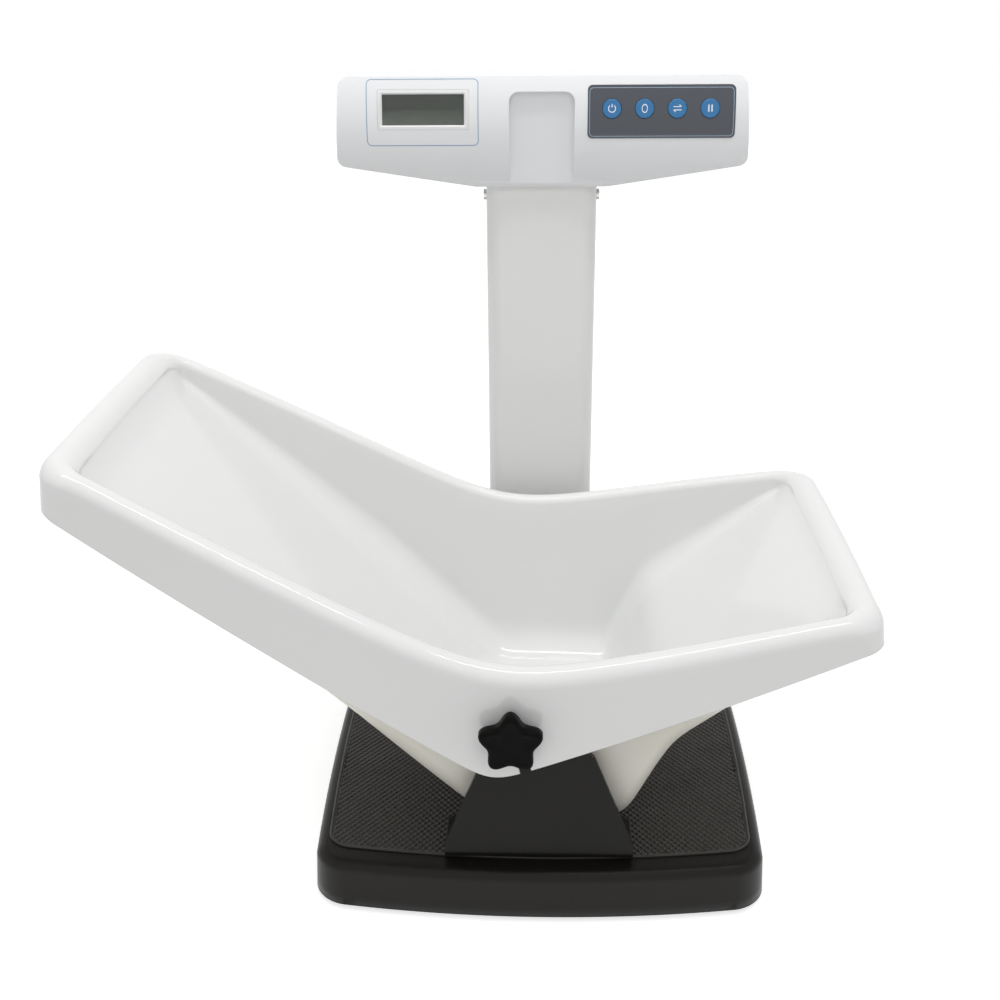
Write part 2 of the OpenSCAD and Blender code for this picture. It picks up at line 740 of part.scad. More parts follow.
module rear_pin() {
    color("silver") placed() translate([stud_x, 0, stud_z]) {
        shoulder_stud(tray_half + 1);
        translate([0, tray_half + 0.6, 0]) rotate([-90, 0, 0]) {
            cylinder(r = 9, h = 2);
            translate([0, 0, 2]) cylinder(r1 = 9, r2 = 7.5, h = 1.2);
        }
    }
}

module clamp_washer() {
    color("silver") placed() mirror([0, 1, 0]) translate([stud_x, washer_y, stud_z]) rotate([-90, 0, 0])
        difference() {
            cylinder(r = washer_r, h = washer_t);
            translate([0, 0, -eps]) cylinder(r = washer_hole_r, h = washer_t + 2 * eps);
        }
}

// outline of the star knob, grown by d; the first lobe points up
function star(d) = [for (i = [0 : 79]) let (a = 4.5 * i,
    r = (knob_tip_r + knob_valley_r) / 2 + d
        + (knob_tip_r - knob_valley_r) / 2 * (cos(5 * (a - 90)) + 0.08 * cos(10 * (a - 90)) - 0.08))
    r * [cos(a), sin(a)]];

module star_knob() {
    hub_t = 3;
    color([0.13, 0.13, 0.13]) placed() mirror([0, 1, 0]) translate([stud_x, knob_y, stud_z])
        rotate([-90, 0, 0]) difference() {
            union() {
                cylinder(r = 11, h = hub_t + 1);
                skin([for (s = [[-1.6, 0], [0, 1.6], [0, knob_t - hub_t - 3.4], [-0.5, knob_t - hub_t - 1.7],
                                [-1.7, knob_t - hub_t - 0.5], [-3.4, knob_t - hub_t]])
                    [for (p = star(s[0])) [p.x, p.y, hub_t + s[1]]]]);
            }
            translate([0, 0, -eps]) cylinder(r = insert_r + 0.02, h = insert_len + eps);
        }
}

module knob_insert() {
    color("gold") placed() mirror([0, 1, 0]) translate([stud_x, knob_y, stud_z]) rotate([-90, 0, 0])
        difference() {
            cylinder(r = insert_r, h = insert_len);
            translate([0, 0, -eps]) cylinder(r = stud_r + hinge_gap, h = insert_len + 2 * eps);
        }
}

// ---------- column ----------

// plan of the column, grown by d
module column_plan(d) {
    w = column_w / 2 + d;
    front = column_y - d;
    back = column_y + column_d + d;
    fr = column_front_r + d;
    rr = column_rear_r + d;
    translate([-w, front + fr]) square([2 * w, back - rr - front - fr]);
    translate([-w + fr, front]) square([2 * (w - fr), fr + 1]);
    translate([-w + rr, back - rr - 1]) square([2 * (w - rr), rr + 1]);
    for (side = [-1, 1]) {
        translate([side * (w - fr), front + fr]) circle(r = fr);
        translate([side * (w - rr), back - rr]) circle(r = rr);
    }
}

side_screw_y = column_y + column_front_r + 5;
foot_screw_z = base_top + 24;
inner_back_y = column_y + column_d - column_wall - slide_gap;

module column() {
    color([0.93, 0.93, 0.93]) placed() difference() {
        translate([0, 0, base_top]) linear_extrude(column_top - base_top) difference() {
            column_plan(0);
            column_plan(-column_wall);
        }
        for (side = [-1, 1]) {
            translate([side * (column_w / 2 + eps), side_screw_y, side_screw_z]) rotate([0, -side * 90, 0])
                cylinder(r = 2.5 + screw_gap, h = column_wall + 2 * eps, $fn = 32);
            translate([side * 25, column_y + column_d + eps, foot_screw_z]) rotate([90, 0, 0])
                cylinder(r = 2 + screw_gap, h = column_wall + 2 * eps, $fn = 32);
        }
    }
}

module column_foot() {
    half = column_w / 2 - column_wall - slide_gap - 4;
    color("gray") placed() difference() {
        union() {
            intersection() {
                translate([0, 0, base_top]) linear_extrude(foot_plate_t) column_plan(-column_wall - slide_gap);
                block([-column_w, column_y, 0], [column_w, inner_back_y, 100]);
            }
            block([-half, inner_back_y - 3, base_top], [half, inner_back_y, foot_screw_z + 8]);
        }
        for (p = foot_bolt_places) translate([p.x, p.y, base_top - eps])
            cylinder(r = bolt_r + screw_gap, h = foot_plate_t + 2 * eps, $fn = 32);
        translate([cable_x, column_mid_y, base_top - eps]) cylinder(r = cable_hole_r, h = foot_plate_t + 2 * eps);
        for (side = [-1, 1]) translate([side * 25, inner_back_y + eps, foot_screw_z]) rotate([90, 0, 0])
            cylinder(r = 2 + screw_gap, h = 3 + 2 * eps, $fn = 32);
    }
}

module column_foot_screws() {
    color("gray") placed() {
        for (p = foot_bolt_places) translate([p.x, p.y, base_top + foot_plate_t])
            screw(2 * bolt_r, foot_plate_t + base_top - deck_z + 2, 10, 2.6);
        for (side = [-1, 1]) translate([side * 25, column_y + column_d, foot_screw_z]) rotate([-90, 0, 0])
            screw(4, column_wall + slide_gap + 4);
    }
}

// folded plate: two cheeks down inside the column and a shelf for the head to sit on
yoke_half = column_w / 2 - column_wall - slide_gap;
yoke_front = column_y + column_front_r - 1;
yoke_back = column_y + column_d - column_rear_r;
shelf_half = 60.5;
shelf_back = head_back_y - shell_t - 2;
shelf_screw_y = shelf_back - 9;

module head_yoke() {
    color("gray") placed() difference() {
        union() {
            for (side = [-1, 1]) block([min(side * yoke_half, side * (yoke_half - yoke_t)), yoke_front, yoke_low],
                [max(side * yoke_half, side * (yoke_half - yoke_t)), yoke_back, yoke_top]);
            block([-shelf_half, yoke_front - 6, yoke_top - yoke_t], [shelf_half, shelf_back, yoke_top]);
        }
        for (side = [-1, 1]) {
            translate([side * (yoke_half + eps), side_screw_y, side_screw_z]) rotate([0, -side * 90, 0])
                cylinder(r = 2.5 + screw_gap, h = yoke_t + 2 * eps, $fn = 32);
            for (x = [22, 54]) translate([side * x, shelf_screw_y, yoke_top - yoke_t - eps])
                cylinder(r = 2 + screw_gap, h = yoke_t + 2 * eps, $fn = 32);
        }
        translate([cable_x, column_mid_y, yoke_top - yoke_t - eps]) cylinder(r = cable_hole_r, h = yoke_t + 2 * eps);
    }
}

module yoke_screws() {
    color("gray") placed() for (x = [-54, -22, 22, 54])
        translate([x, shelf_screw_y, yoke_top - yoke_t]) mirror([0, 0, 1]) screw(4, yoke_t + 4);
}

module column_side_screws() {
    color("silver") placed() for (side = [-1, 1])
        translate([side * column_w / 2, side_screw_y, side_screw_z]) rotate([0, side * 90, 0])
            screw(5, column_wall + slide_gap + yoke_t + 1, 9.6, 2.4);
}

// quarter bend of a cable: it leaves the origin along +Z and turns towards +X
module cable_bend(radius) {
    translate([radius, 0, 0]) rotate([90, 0, 180]) rotate_extrude(angle = 90)
        translate([radius, 0]) circle(r = cable_r, $fn = 32);
}

cable_bend_r = 12;
cable_low_z = board_z + board_t + 3.6;
cable_top_z = head_low + 38;
plug_x = lcd_x + 33;

module signal_cable() {
    color("dimgray") placed() {
        translate([cable_x, column_mid_y, cable_low_z + cable_bend_r])
            cylinder(r = cable_r, h = cable_top_z - cable_low_z - 2 * cable_bend_r, $fn = 32);
        translate([cable_x, column_mid_y, cable_top_z - cable_bend_r]) rotate(180) cable_bend(cable_bend_r);
        translate([cable_x - cable_bend_r, column_mid_y, cable_top_z]) rotate([0, -90, 0])
            cylinder(r = cable_r, h = cable_x - cable_bend_r - plug_x, $fn = 32);
        translate([cable_x, column_mid_y, cable_low_z + cable_bend_r]) mirror([0, 0, 1]) rotate(-90)
            cable_bend(cable_bend_r);
        translate([cable_x, column_mid_y - cable_bend_r, cable_low_z]) rotate([90, 0, 0])
            cylinder(r = cable_r, h = column_mid_y - cable_bend_r - board_mid_y - board_half_y + 0.8, $fn = 32);
    }
}

// ---------- head ----------

crown_r = (pow(head_h / 2, 2) + pow(head_crown, 2)) / (2 * head_crown);
function face_y(z) = head_front_y + crown_r - sqrt(pow(crown_r, 2) - pow(z - head_mid_z, 2));
panel_tilt = asin((panel_z - head_mid_z) / crown_r);
head_flat = 56;          // half-width of the head's level lower face

// arc of radius r in the corner b between a and c
function corner_arc(a, b, c, r) =
    let (u = (a - b) / norm(a - b), v = (c - b) / norm(c - b),
         half = acos(u * v) / 2, o = b + (u + v) / norm(u + v) * r / sin(half),
         p = b + u * r / tan(half) - o, q = b + v * r / tan(half) - o,
         from = atan2(p.y, p.x), turn = atan2(p.x * q.y - p.y * q.x, p * q))
    [for (i = [0 : 6]) let (t = from + turn * i / 6) o + r * [cos(t), sin(t)]];

function rounded(points, radii) = let (n = len(points))
    [for (i = [0 : n - 1]) each corner_arc(points[(i + n - 1) % n], points[i], points[(i + 1) % n], radii[i])];

// front view of the head, grown by d
function head_points(d) =
    let (flat = head_flat + d / 4, low = head_low - d, wing = head_low + head_wing - d / 2,
         half = head_half + d, top_half = head_half - head_taper + d, top = head_top + d, r = 8 + d)
    rounded([[-flat, low], [flat, low], [half, wing], [top_half, top], [-top_half, top], [-half, wing]],
            [30, 30, r, r + 1, r + 1, r]);

// the head's body, grown by d, with its crowned front and up to y1 at the back
module head_body(d, y1) {
    intersection() {
        along_y(head_front_y - 5, y1) polygon(head_points(d));
        translate([0, head_front_y + crown_r, head_mid_z]) rotate([0, 90, 0])
            cylinder(r = crown_r + d, h = 3 * head_half, center = true, $fn = 180);
    }
}

// recess over the column, seen from the front, grown by d
module scoop(d) {
    top = head_low + scoop_h + d;
    polygon(rounded([[-scoop_half - d + 1, head_low - 10], [scoop_half + d - 1, head_low - 10],
                     [scoop_half + d, top], [-scoop_half - d, top]], [1, 1, 8, 8]));
}

// frame of the display and keys: origin on the face, +Z into the head, +Y down the face
module on_panel(x) {
    placed() translate([x, face_y(panel_z), panel_z]) rotate([-90 - panel_tilt, 0, 0]) children();
}

keys_x = [for (i = [0 : 3]) key_x + i * key_pitch];
key_flange_z = shell_t + 0.8;
key_back_z = key_flange_z + 1.2;
dome_z = key_back_z + 0.9 + key_travel + 0.2;
pad_board_z = dome_z + 0.6;
bezel_rim = 4;
bezel_back = 4.2;
lcd_back = 9.4;
boss_x = head_half - 15;
head_bosses = [for (side = [-1, 1]) each [[side * boss_x, head_low + 29.5],
    [side * (boss_x - 2), head_low + 79.5], [side * 76, head_low + 12.5]]];
main_posts = [for (p = [[-47, 27.5], [33, 27.5], [-47, 71.5]]) [lcd_x + p.x, head_low + p.y]];
main_board_y = split_y - 8;
pad_posts = [for (x = [pad_x - 46, pad_x + 47]) for (y = [-13, 13]) [x, y]];

module head_front_shell() {
    color("whitesmoke") {
        difference() {
            placed() difference() {
                head_body(0, split_y);
                difference() {
                    head_body(-shell_t, split_y + eps);
                    along_y(head_front_y - 1, scoop_y + shell_t) scoop(shell_t);
                }
                along_y(head_front_y - 1, scoop_y) scoop(0);
                translate([0, 0, head_low - eps]) linear_extrude(shell_t + 2 * eps) column_plan(slide_gap);
            }
            for (x = keys_x) on_panel(x) translate([0, 0, -2])
                cylinder(r = key_d / 2 + key_gap, h = shell_t + 4);
            on_panel(lcd_x) translate([0, 0, -3]) linear_extrude(shell_t + 6)
                square([lcd_w + 2 * bezel_rim, lcd_h + 2 * bezel_rim], center = true);
        }
        // bosses for the screws from the rear shell
        placed() for (p = head_bosses) difference() {
            intersection() {
                translate([p.x, split_y, p.y]) rotate([90, 0, 0]) cylinder(r = 4, h = 40);
                head_body(-shell_t + 0.1, split_y);
            }
            translate([p.x, split_y + eps, p.y]) rotate([90, 0, 0])
                cylinder(r = 1.5 + screw_gap, h = 13, $fn = 32);
        }
        // posts for the boards
        placed() for (p = main_posts) difference() {
            intersection() {
                translate([p.x, main_board_y, p.y]) rotate([90, 0, 0]) cylinder(r = 3, h = 30);
                head_body(-shell_t + 0.1, split_y);
            }
            translate([p.x, main_board_y + eps, p.y]) rotate([90, 0, 0])
                cylinder(r = 1 + screw_gap, h = 8, $fn = 32);
        }
        for (p = pad_posts) on_panel(p.x) translate([0, p.y, 0]) difference() {
            translate([0, 0, shell_t - 0.6]) cylinder(r = 2.5, h = pad_board_z - shell_t + 0.6);
            translate([0, 0, pad_board_z - 4]) cylinder(r = 1 + screw_gap, h = 5, $fn = 32);
        }
    }
}

socket_x = head_half - 55;
socket_z = head_low + 36;
socket_w = 12;
socket_h = 10;
socket_sink = 6;
socket_y = head_back_y - socket_sink;

module head_rear_shell() {
    wall = 1.6;
    color("gainsboro") placed() {
        difference() {
            union() {
                along_y(split_y, head_back_y - 5) polygon(head_points(0));
                skin([for (a = [90, 60, 30, 0])
                    [for (p = head_points(-5 * (1 - cos(a)))) [p.x, head_back_y - 5 + 5 * sin(a), p.y]]]);
            }
            along_y(split_y - eps, head_back_y - shell_t) polygon(head_points(-shell_t - 1.5));
            along_y(split_y - eps, head_back_y - 8) polygon(head_points(-shell_t));
            translate([0, 0, head_low - eps]) linear_extrude(shell_t + 2.5) column_plan(slide_gap);
            // battery opening with the hinge's groove, and the socket's recess
            block([-door_half - door_gap, head_back_y - shell_t - eps, hinge_z - hinge_r - door_gap],
                  [door_half + door_gap, head_back_y + eps, door_top + door_gap]);
            block([socket_x - socket_w / 2, head_back_y - 5, socket_z - socket_h / 2],
                  [socket_x + socket_w / 2, head_back_y + eps, socket_z + socket_h / 2]);
            for (side = [-1, 1]) translate([side * (door_half - 1), hinge_y, hinge_z]) rotate([0, side * 90, 0])
                cylinder(r = hinge_pin_r + hinge_gap, h = 5, $fn = 32);
            for (p = head_bosses) translate([p.x, head_back_y + eps, p.y]) rotate([90, 0, 0])
                cylinder(r = 3.4, h = 10);
        }
        // cheeks that back the wall where the door's hinge pins run
        for (side = [-1, 1]) difference() {
            block([side * (door_half + 2.4) - 1.9, hinge_y - 3, hinge_z - 3],
                  [side * (door_half + 2.4) + 1.9, head_back_y - shell_t + 0.1, hinge_z + 3]);
            translate([side * (door_half + 2.4), hinge_y, hinge_z]) rotate([0, 90, 0])
                cylinder(r = hinge_pin_r + hinge_gap, h = 8, center = true, $fn = 32);
        }
        // bosses for the head's screws
        for (p = head_bosses) difference() {
            translate([p.x, head_back_y - shell_t + 0.1, p.y]) rotate([90, 0, 0])
                cylinder(r = 5, h = head_back_y - shell_t - split_y + 0.1);
            translate([p.x, head_back_y + eps, p.y]) rotate([90, 0, 0]) cylinder(r = 3.4, h = 20 + eps);
            translate([p.x, head_back_y, p.y]) rotate([90, 0, 0])
                cylinder(r = 1.5 + screw_gap, h = 60, $fn = 32);
        }
        // pads that the yoke's shelf is screwed to
        for (side = [-1, 1]) for (x = [22, 54]) difference() {
            block([side * x - 6, shelf_screw_y - 6, yoke_top],
                  [side * x + 6, head_back_y - shell_t + 0.1, bay_z - bay_wall]);
            translate([side * x, shelf_screw_y, yoke_top - eps])
                cylinder(r = 2 + screw_gap, h = bay_z - yoke_top, $fn = 32);
            // room for the door's barrel
            translate([side * x, hinge_y, hinge_z]) rotate([0, 90, 0])
                cylinder(r = hinge_r + hinge_gap, h = 13, center = true, $fn = 32);
        }
        // walls of the socket's recess
        difference() {
            block([socket_x - socket_w / 2 - wall, socket_y, socket_z - socket_h / 2 - wall],
                  [socket_x + socket_w / 2 + wall, head_back_y - shell_t + 0.1, socket_z + socket_h / 2 + wall]);
            block([socket_x - socket_w / 2, socket_y - eps, socket_z - socket_h / 2],
                  [socket_x + socket_w / 2, head_back_y, socket_z + socket_h / 2]);
        }
    }
}

module head_screws() {
    color("gray") placed() for (p = head_bosses)
        translate([p.x, head_back_y - 20, p.y]) rotate([-90, 0, 0]) screw(3, head_back_y - 20 - split_y + 11);
}

// part of the head's front, d thick, that lies behind the outline asked for
module face_patch(out, inward) {
    intersection() {
        translate([0, head_front_y + crown_r, head_mid_z]) rotate([0, 90, 0]) difference() {
            cylinder(r = crown_r + out, h = 2.4 * head_half, center = true, $fn = 180);
            cylinder(r = crown_r - inward, h = 3 * head_half, center = true, $fn = 180);
        }
        along_y(head_front_y - 5, head_front_y + 20) children();
    }
}

module display_bezel() {
    w = lcd_w / 2;
    h = lcd_h / 2;
    fit = 0.1;
    color("white") difference() {
        intersection() {
            placed() head_body(0, split_y);
            on_panel(lcd_x) translate([0, 0, -4]) linear_extrude(bezel_back + 4)
                square([2 * (w + bezel_rim - fit), 2 * (h + bezel_rim - fit)], center = true);
        }
        on_panel(lcd_x) {
            skin([for (s = [[6.6, -3], [2.6, -0.2], [0, lcd_sink]])
                [for (c = [[-1, -1], [1, -1], [1, 1], [-1, 1]]) [c.x * (w + s[0]), c.y * (h + s[0]), s[1]]]]);
            translate([-w - 1.5 - fit, -h - 1.5 - fit, lcd_sink]) cube([2 * w + 3 + 2 * fit, 2 * h + 3 + 2 * fit, 8]);
        }
    }
}

module display_window() {
    color([0.25, 0.3, 0.28]) on_panel(lcd_x) translate([-lcd_w / 2 - 1.5, -lcd_h / 2 - 1.5, lcd_sink])
        cube([lcd_w + 3, lcd_h + 3, bezel_back - lcd_sink]);
}

module lcd_module() {
    color("darkslategray") on_panel(lcd_x) translate([-lcd_w / 2 - 5, -lcd_h / 2 - 5, bezel_back])
        cube([lcd_w + 10, lcd_h + 10, lcd_back - bezel_back]);
}

module main_board() {
    color("seagreen") placed() {
        difference() {
            block([lcd_x - 52, main_board_y, head_low + 21.5],
                  [lcd_x + 38, main_board_y + board_t, head_low + 76.5]);
            for (p = main_posts) translate([p.x, main_board_y - eps, p.y]) rotate([-90, 0, 0])
                cylinder(r = 1 + screw_gap, h = board_t + 2 * eps, $fn = 32);
        }
        block([plug_x - 9, main_board_y + board_t, cable_top_z - 5], [plug_x, column_mid_y + 5, cable_top_z + 5]);
        block([lcd_x - 26, main_board_y + board_t, head_low + 49.5],
              [lcd_x - 12, main_board_y + board_t + 2, head_low + 63.5]);
    }
}

module board_screws() {
    color("silver") {
        placed() for (p = main_posts) translate([p.x, main_board_y + board_t, p.y]) rotate([-90, 0, 0])
            screw(2, board_t + 5);
        for (p = pad_posts) on_panel(p.x) translate([0, p.y, pad_board_z + board_t]) screw(2, board_t + 3.1);
    }
}

module buzzer() {
    color([0.1, 0.1, 0.1]) placed() translate([lcd_x + 3, main_board_y + board_t, head_low + 31.5]) rotate([-90, 0, 0])
        difference() {
            cylinder(r = 6, h = 5.5);
            translate([0, 0, 3]) cylinder(r = 1, h = 5, $fn = 32);
        }
}

module keypad_film() {
    film_t = 0.4;
    color([0.2, 0.23, 0.28]) difference() {
        placed() face_patch(film_t, -0.1) translate([pad_x, panel_z - 2.5]) round_rect(pad_w, pad_h, 4);
        for (x = keys_x) on_panel(x) translate([0, 0, -3]) cylinder(r = key_d / 2 + key_gap, h = 8);
    }
}

module key(i) {
    r = key_d / 2;
    color("steelblue") on_panel(keys_x[i]) {
        translate([0, 0, -1.2]) cylinder(r1 = r - 0.6, r2 = r, h = 0.6);
        translate([0, 0, -0.6]) cylinder(r = r, h = key_back_z + 0.6);
        translate([0, 0, key_flange_z]) cylinder(r = r + 1.3, h = key_back_z - key_flange_z);
        translate([0, 0, key_back_z]) cylinder(r = 2, h = 0.9, $fn = 32);
    }
}
module power_key() { key(0); }
module zero_key() { key(1); }
module units_key() { key(2); }
module hold_key() { key(3); }

module key_domes() {
    color("silver") for (x = keys_x) on_panel(x) translate([0, 0, dome_z])
        cylinder(r1 = 3.4, r2 = 4.2, h = pad_board_z - dome_z);
}

module keypad_board() {
    color("seagreen") {
        difference() {
            on_panel(pad_x) translate([10 - pad_w / 2, 4 - pad_h / 2, pad_board_z]) cube([pad_w - 19, pad_h - 8, board_t]);
            for (p = pad_posts) on_panel(p.x) translate([0, p.y, pad_board_z - eps])
                cylinder(r = 1 + screw_gap, h = board_t + 2 * eps, $fn = 32);
        }
    }
}

// ---------- batteries ----------

bay_front_y = bay_back_y - bay_d;
row_z = [for (i = [0 : 2]) bay_z + 2 + cell_row * (i + 0.5)];
cell_y = bay_front_y + 1 + cell_d / 2;

module battery_holder() {
    w = bay_wall;
    color([0.2, 0.2, 0.2]) placed() difference() {
        union() {
            block([-bay_half - w, bay_front_y - w, bay_z - w], [bay_half + w, bay_back_y, bay_z + bay_h + w]);
            // lugs that rest against the rear shell beside the door
            for (side = [-1, 1]) for (z = [bay_z + 8, bay_z + bay_h - 14])
                block([side > 0 ? bay_half : -bay_half - 8, bay_back_y - 6, z],
                      [side > 0 ? bay_half + 8 : -bay_half, head_back_y - shell_t, z + 6]);
        }
        // and the gap that the door's edge needs beside them
        block([-door_half - door_gap, bay_back_y, bay_z], [door_half + door_gap, head_back_y, bay_z + bay_h]);
        for (side = [-1, 1]) block([side > 0 ? 1 : -bay_half, bay_front_y, bay_z],
                                   [side > 0 ? bay_half : -1, bay_back_y + eps, bay_z + bay_h]);
    }
}

module batteries() {
    color("goldenrod") placed() for (side = [-1, 1]) for (z = row_z)
        translate([side > 0 ? 2 : -2 - cell_l, cell_y, z]) rotate([0, 90, 0]) {
            cylinder(d = cell_d, h = cell_l - 1);
            cylinder(d = 5.4, h = cell_l, $fn = 32);
        }
}

module battery_contacts() {
    color("silver") placed() for (side = [-1, 1]) for (z = row_z) {
        for (x = [1.3, bay_half - 0.3]) translate([side * x, cell_y, z]) cube([0.6, 12, 11], center = true);
        translate([side * (bay_half - 0.6), cell_y, z]) rotate([0, -side * 90, 0])
            cylinder(r1 = 4.5, r2 = 3, h = 1.3);
    }
}

// lid with a barrel and two pins along its lower edge and finger grooves near the top
module battery_door() {
    color("gainsboro") placed() {
        difference() {
            block([-door_half, head_back_y - door_t, hinge_z], [door_half, head_back_y, door_top]);
            for (i = [0 : 3]) block([-12, head_back_y - 0.6, door_top - 12 + 2.4 * i],
                                    [12, head_back_y + eps, door_top - 10.8 + 2.4 * i]);
        }
        translate([0, hinge_y, hinge_z]) rotate([0, 90, 0])
            cylinder(r = hinge_r, h = 2 * door_half, center = true, $fn = 32);
        translate([0, hinge_y, hinge_z]) rotate([0, 90, 0])
            cylinder(r = hinge_pin_r, h = 2 * (door_half + 3), center = true, $fn = 32);
    }
}

module power_socket() {
    depth = 12;
    color([0.12, 0.12, 0.12]) placed() difference() {
        block([socket_x - 7, socket_y - depth, socket_z - 6], [socket_x + 7, socket_y, socket_z + 6]);
        translate([socket_x, socket_y + eps, socket_z]) rotate([90, 0, 0]) difference() {
            cylinder(r = 3.2, h = 9 + eps);
            translate([0, 0, eps]) cylinder(r = 1, h = 10, $fn = 32);
        }
    }
}

base_housing();
platform_plate();
bottom_cover();
cover_screws();
platform_mat();
load_cell_front_left();
load_cell_front_right();
load_cell_rear_left();
load_cell_rear_right();
cell_risers();
cell_screws();
foot_front_left();
foot_front_right();
foot_rear_left();
foot_rear_right();
foot_studs();
junction_board();
board_pillars();
front_bracket();
rear_bracket();
bracket_bolts();
clamp_stud();
rear_pin();
clamp_washer();
star_knob();
knob_insert();
cradle_tray();
column();
column_foot();
column_foot_screws();
head_yoke();
yoke_screws();
column_side_screws();
signal_cable();
head_front_shell();
head_rear_shell();
head_screws();
display_bezel();
display_window();
lcd_module();
main_board();
board_screws();
buzzer();
keypad_film();
power_key();
zero_key();
units_key();
hold_key();
key_domes();
keypad_board();
battery_holder();
batteries();
battery_contacts();
battery_door();
power_socket();
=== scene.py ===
"""Looks of a baby weighing scale: cradle tray on a platform, display head on a column."""

import json
import math

import bmesh
import bpy
from mathutils import Matrix, Vector


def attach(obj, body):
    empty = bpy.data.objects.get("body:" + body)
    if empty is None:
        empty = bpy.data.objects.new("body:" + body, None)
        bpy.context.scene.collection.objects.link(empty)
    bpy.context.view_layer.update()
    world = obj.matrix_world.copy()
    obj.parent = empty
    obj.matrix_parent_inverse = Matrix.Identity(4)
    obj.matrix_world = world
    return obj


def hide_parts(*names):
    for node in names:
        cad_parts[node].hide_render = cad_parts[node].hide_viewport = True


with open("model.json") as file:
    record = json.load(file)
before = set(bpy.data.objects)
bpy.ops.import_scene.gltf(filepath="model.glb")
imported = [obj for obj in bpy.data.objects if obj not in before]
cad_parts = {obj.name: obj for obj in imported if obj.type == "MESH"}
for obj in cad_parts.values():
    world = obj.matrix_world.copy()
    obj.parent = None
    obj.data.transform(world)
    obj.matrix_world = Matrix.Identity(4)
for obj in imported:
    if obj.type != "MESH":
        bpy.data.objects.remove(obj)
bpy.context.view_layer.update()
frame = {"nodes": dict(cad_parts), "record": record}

MM = 0.001
# from the tray's own frame, in which the sizes below are written, to the part's frame
SHIFT = Vector((50.0, -29.55, 0.0))

# ---------- sizes in millimetres, the same as the solids' ----------

TRAY_LEN, TRAY_REACH, TRAY_HALF, TRAY_BOW, TRAY_CORNER = 588.0, 244.0, 164.5, 22.0, 36.0
TRAY_WALL, ROLL_OUT, ROLL_IN = 4.0, 12.0, 7.0
TRAY_MID = TRAY_REACH - TRAY_LEN / 2
RIM = ROLL_OUT + ROLL_IN
# the rim, the skirt's lower edge and the cavity each bend once, at a lowest height, between two slopes
BEND_X, BACK_X, KNEE_X = -31.0, -40.0, 95.0
RIM_Z, RIM_BACK_SLOPE, RIM_LEG_SLOPE, RIM_BACK_CAP, RIM_LEG_CAP = 198.0, 0.522, 0.174, 157.0, 49.0
SKIRT_Z, SKIRT_BACK_SLOPE, SKIRT_LEG_SLOPE = 118.0, 0.65, 0.361
CAVITY_Z, BACK_SLOPE, KNEE_Z, LEG_SLOPE, THIGH_SLOPE = 57.0, 0.989, 127.0, 0.852, 2.18
WALL_STEEP, CORNER_LEAST, PANEL_INSET = 84.0, 14.0, 58.0
SKIRT_SHARP, RIM_SHARP = 24.0, 14.0
STUD_X, STUD_Z = -20.0, 160.0
SLOT_LEAN, SLOT_HALF = 18.0, 4.3
BASE_X, BASE_Y, BASE_MID, BASE_CORNER = 176.0, 204.0, 30.0, 24.0
BASE_GAP, BASE_TOP, BASE_WALL, BASE_ROUND = 5.0, 42.0, 3.0, 8.0
MAT_T, MAT_EDGE_Y, MAT_EDGE_X = 1.5, 21.0, 10.0
DIAMOND_X, DIAMOND_Y, DIAMOND_RISE, DIAMOND_GAP = 2.62, 3.31, 0.75, 0.8
COLUMN_W, COLUMN_Y = 96.0, 190.0
KNOB_Y, KNOB_T, KNOB_TIP, KNOB_VALLEY, KNOB_ROUND = 166.9, 14.0, 23.5, 17.0, 3.4
HEAD_LOW, HEAD_H, HEAD_FRONT, HEAD_CROWN = 480.5, 90.5, 174.5, 12.0
HEAD_MID = HEAD_LOW + HEAD_H / 2
CROWN_R = ((HEAD_H / 2) ** 2 + HEAD_CROWN**2) / (2 * HEAD_CROWN)
PANEL_Z = HEAD_LOW + 65.0
PANEL_TILT = math.asin((PANEL_Z - HEAD_MID) / CROWN_R)
PAD_W, PAD_H, PAD_X = 122.0, 42.0, 99.0
KEY_X, KEY_PITCH = 58.0, 27.0


# ---------- shared ways of making ----------


def place(bm):
    """Moves a mesh drawn in millimetres to its place in metres."""
    bmesh.ops.translate(bm, verts=bm.verts, vec=SHIFT)
    bmesh.ops.scale(bm, verts=bm.verts, vec=(MM, MM, MM))


def piece(name, bm, materials, body, nodes=(), angle=35.0):
    """Makes an object of a mesh in metres, smooth but for edges sharper than angle."""
    for edge in bm.edges:
        sharp = len(edge.link_faces) == 2 and edge.calc_face_angle(0.0) > math.radians(angle)
        edge.smooth = not sharp
    for face in bm.faces:
        face.smooth = True
    mesh = bpy.data.meshes.new(name)
    bm.to_mesh(mesh)
    bm.free()
    obj = bpy.data.objects.new(name, mesh)
    bpy.context.scene.collection.objects.link(obj)
    for material in materials:
        mesh.materials.append(material)
    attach(obj, body)
    if nodes:
        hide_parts(*nodes)
    return obj


def band(bm, around, rows, point, closed=True):
    """Grid bent round into a band; point(i, k) gives station i of row k in millimetres."""
    made = bmesh.ops.create_grid(bm, x_segments=around, y_segments=rows - 1, size=0.5)["verts"]
    for v in made:
        i = round((v.co.x + 0.5) * around)
        v.co = point(i % around if closed else i, round((v.co.y + 0.5) * (rows - 1)))
    bmesh.ops.remove_doubles(bm, verts=made, dist=1e-4)
    return [v for v in made if v.is_valid]


def close_holes(bm, verts=None):
    """Fills the open ends and turns every face outwards."""
    chosen = set(verts or bm.verts)
    open_edges = [e for e in bm.edges if e.is_boundary and e.verts[0] in chosen]
    bmesh.ops.holes_fill(bm, edges=open_edges, sides=0)
    bmesh.ops.recalc_face_normals(bm, faces=bm.faces)


def parts_of(items, kind):
    """The vertices, edges or faces that belong to the items, each once and in a fixed order."""
    return list(dict.fromkeys(part for item in items for part in getattr(item, kind)))


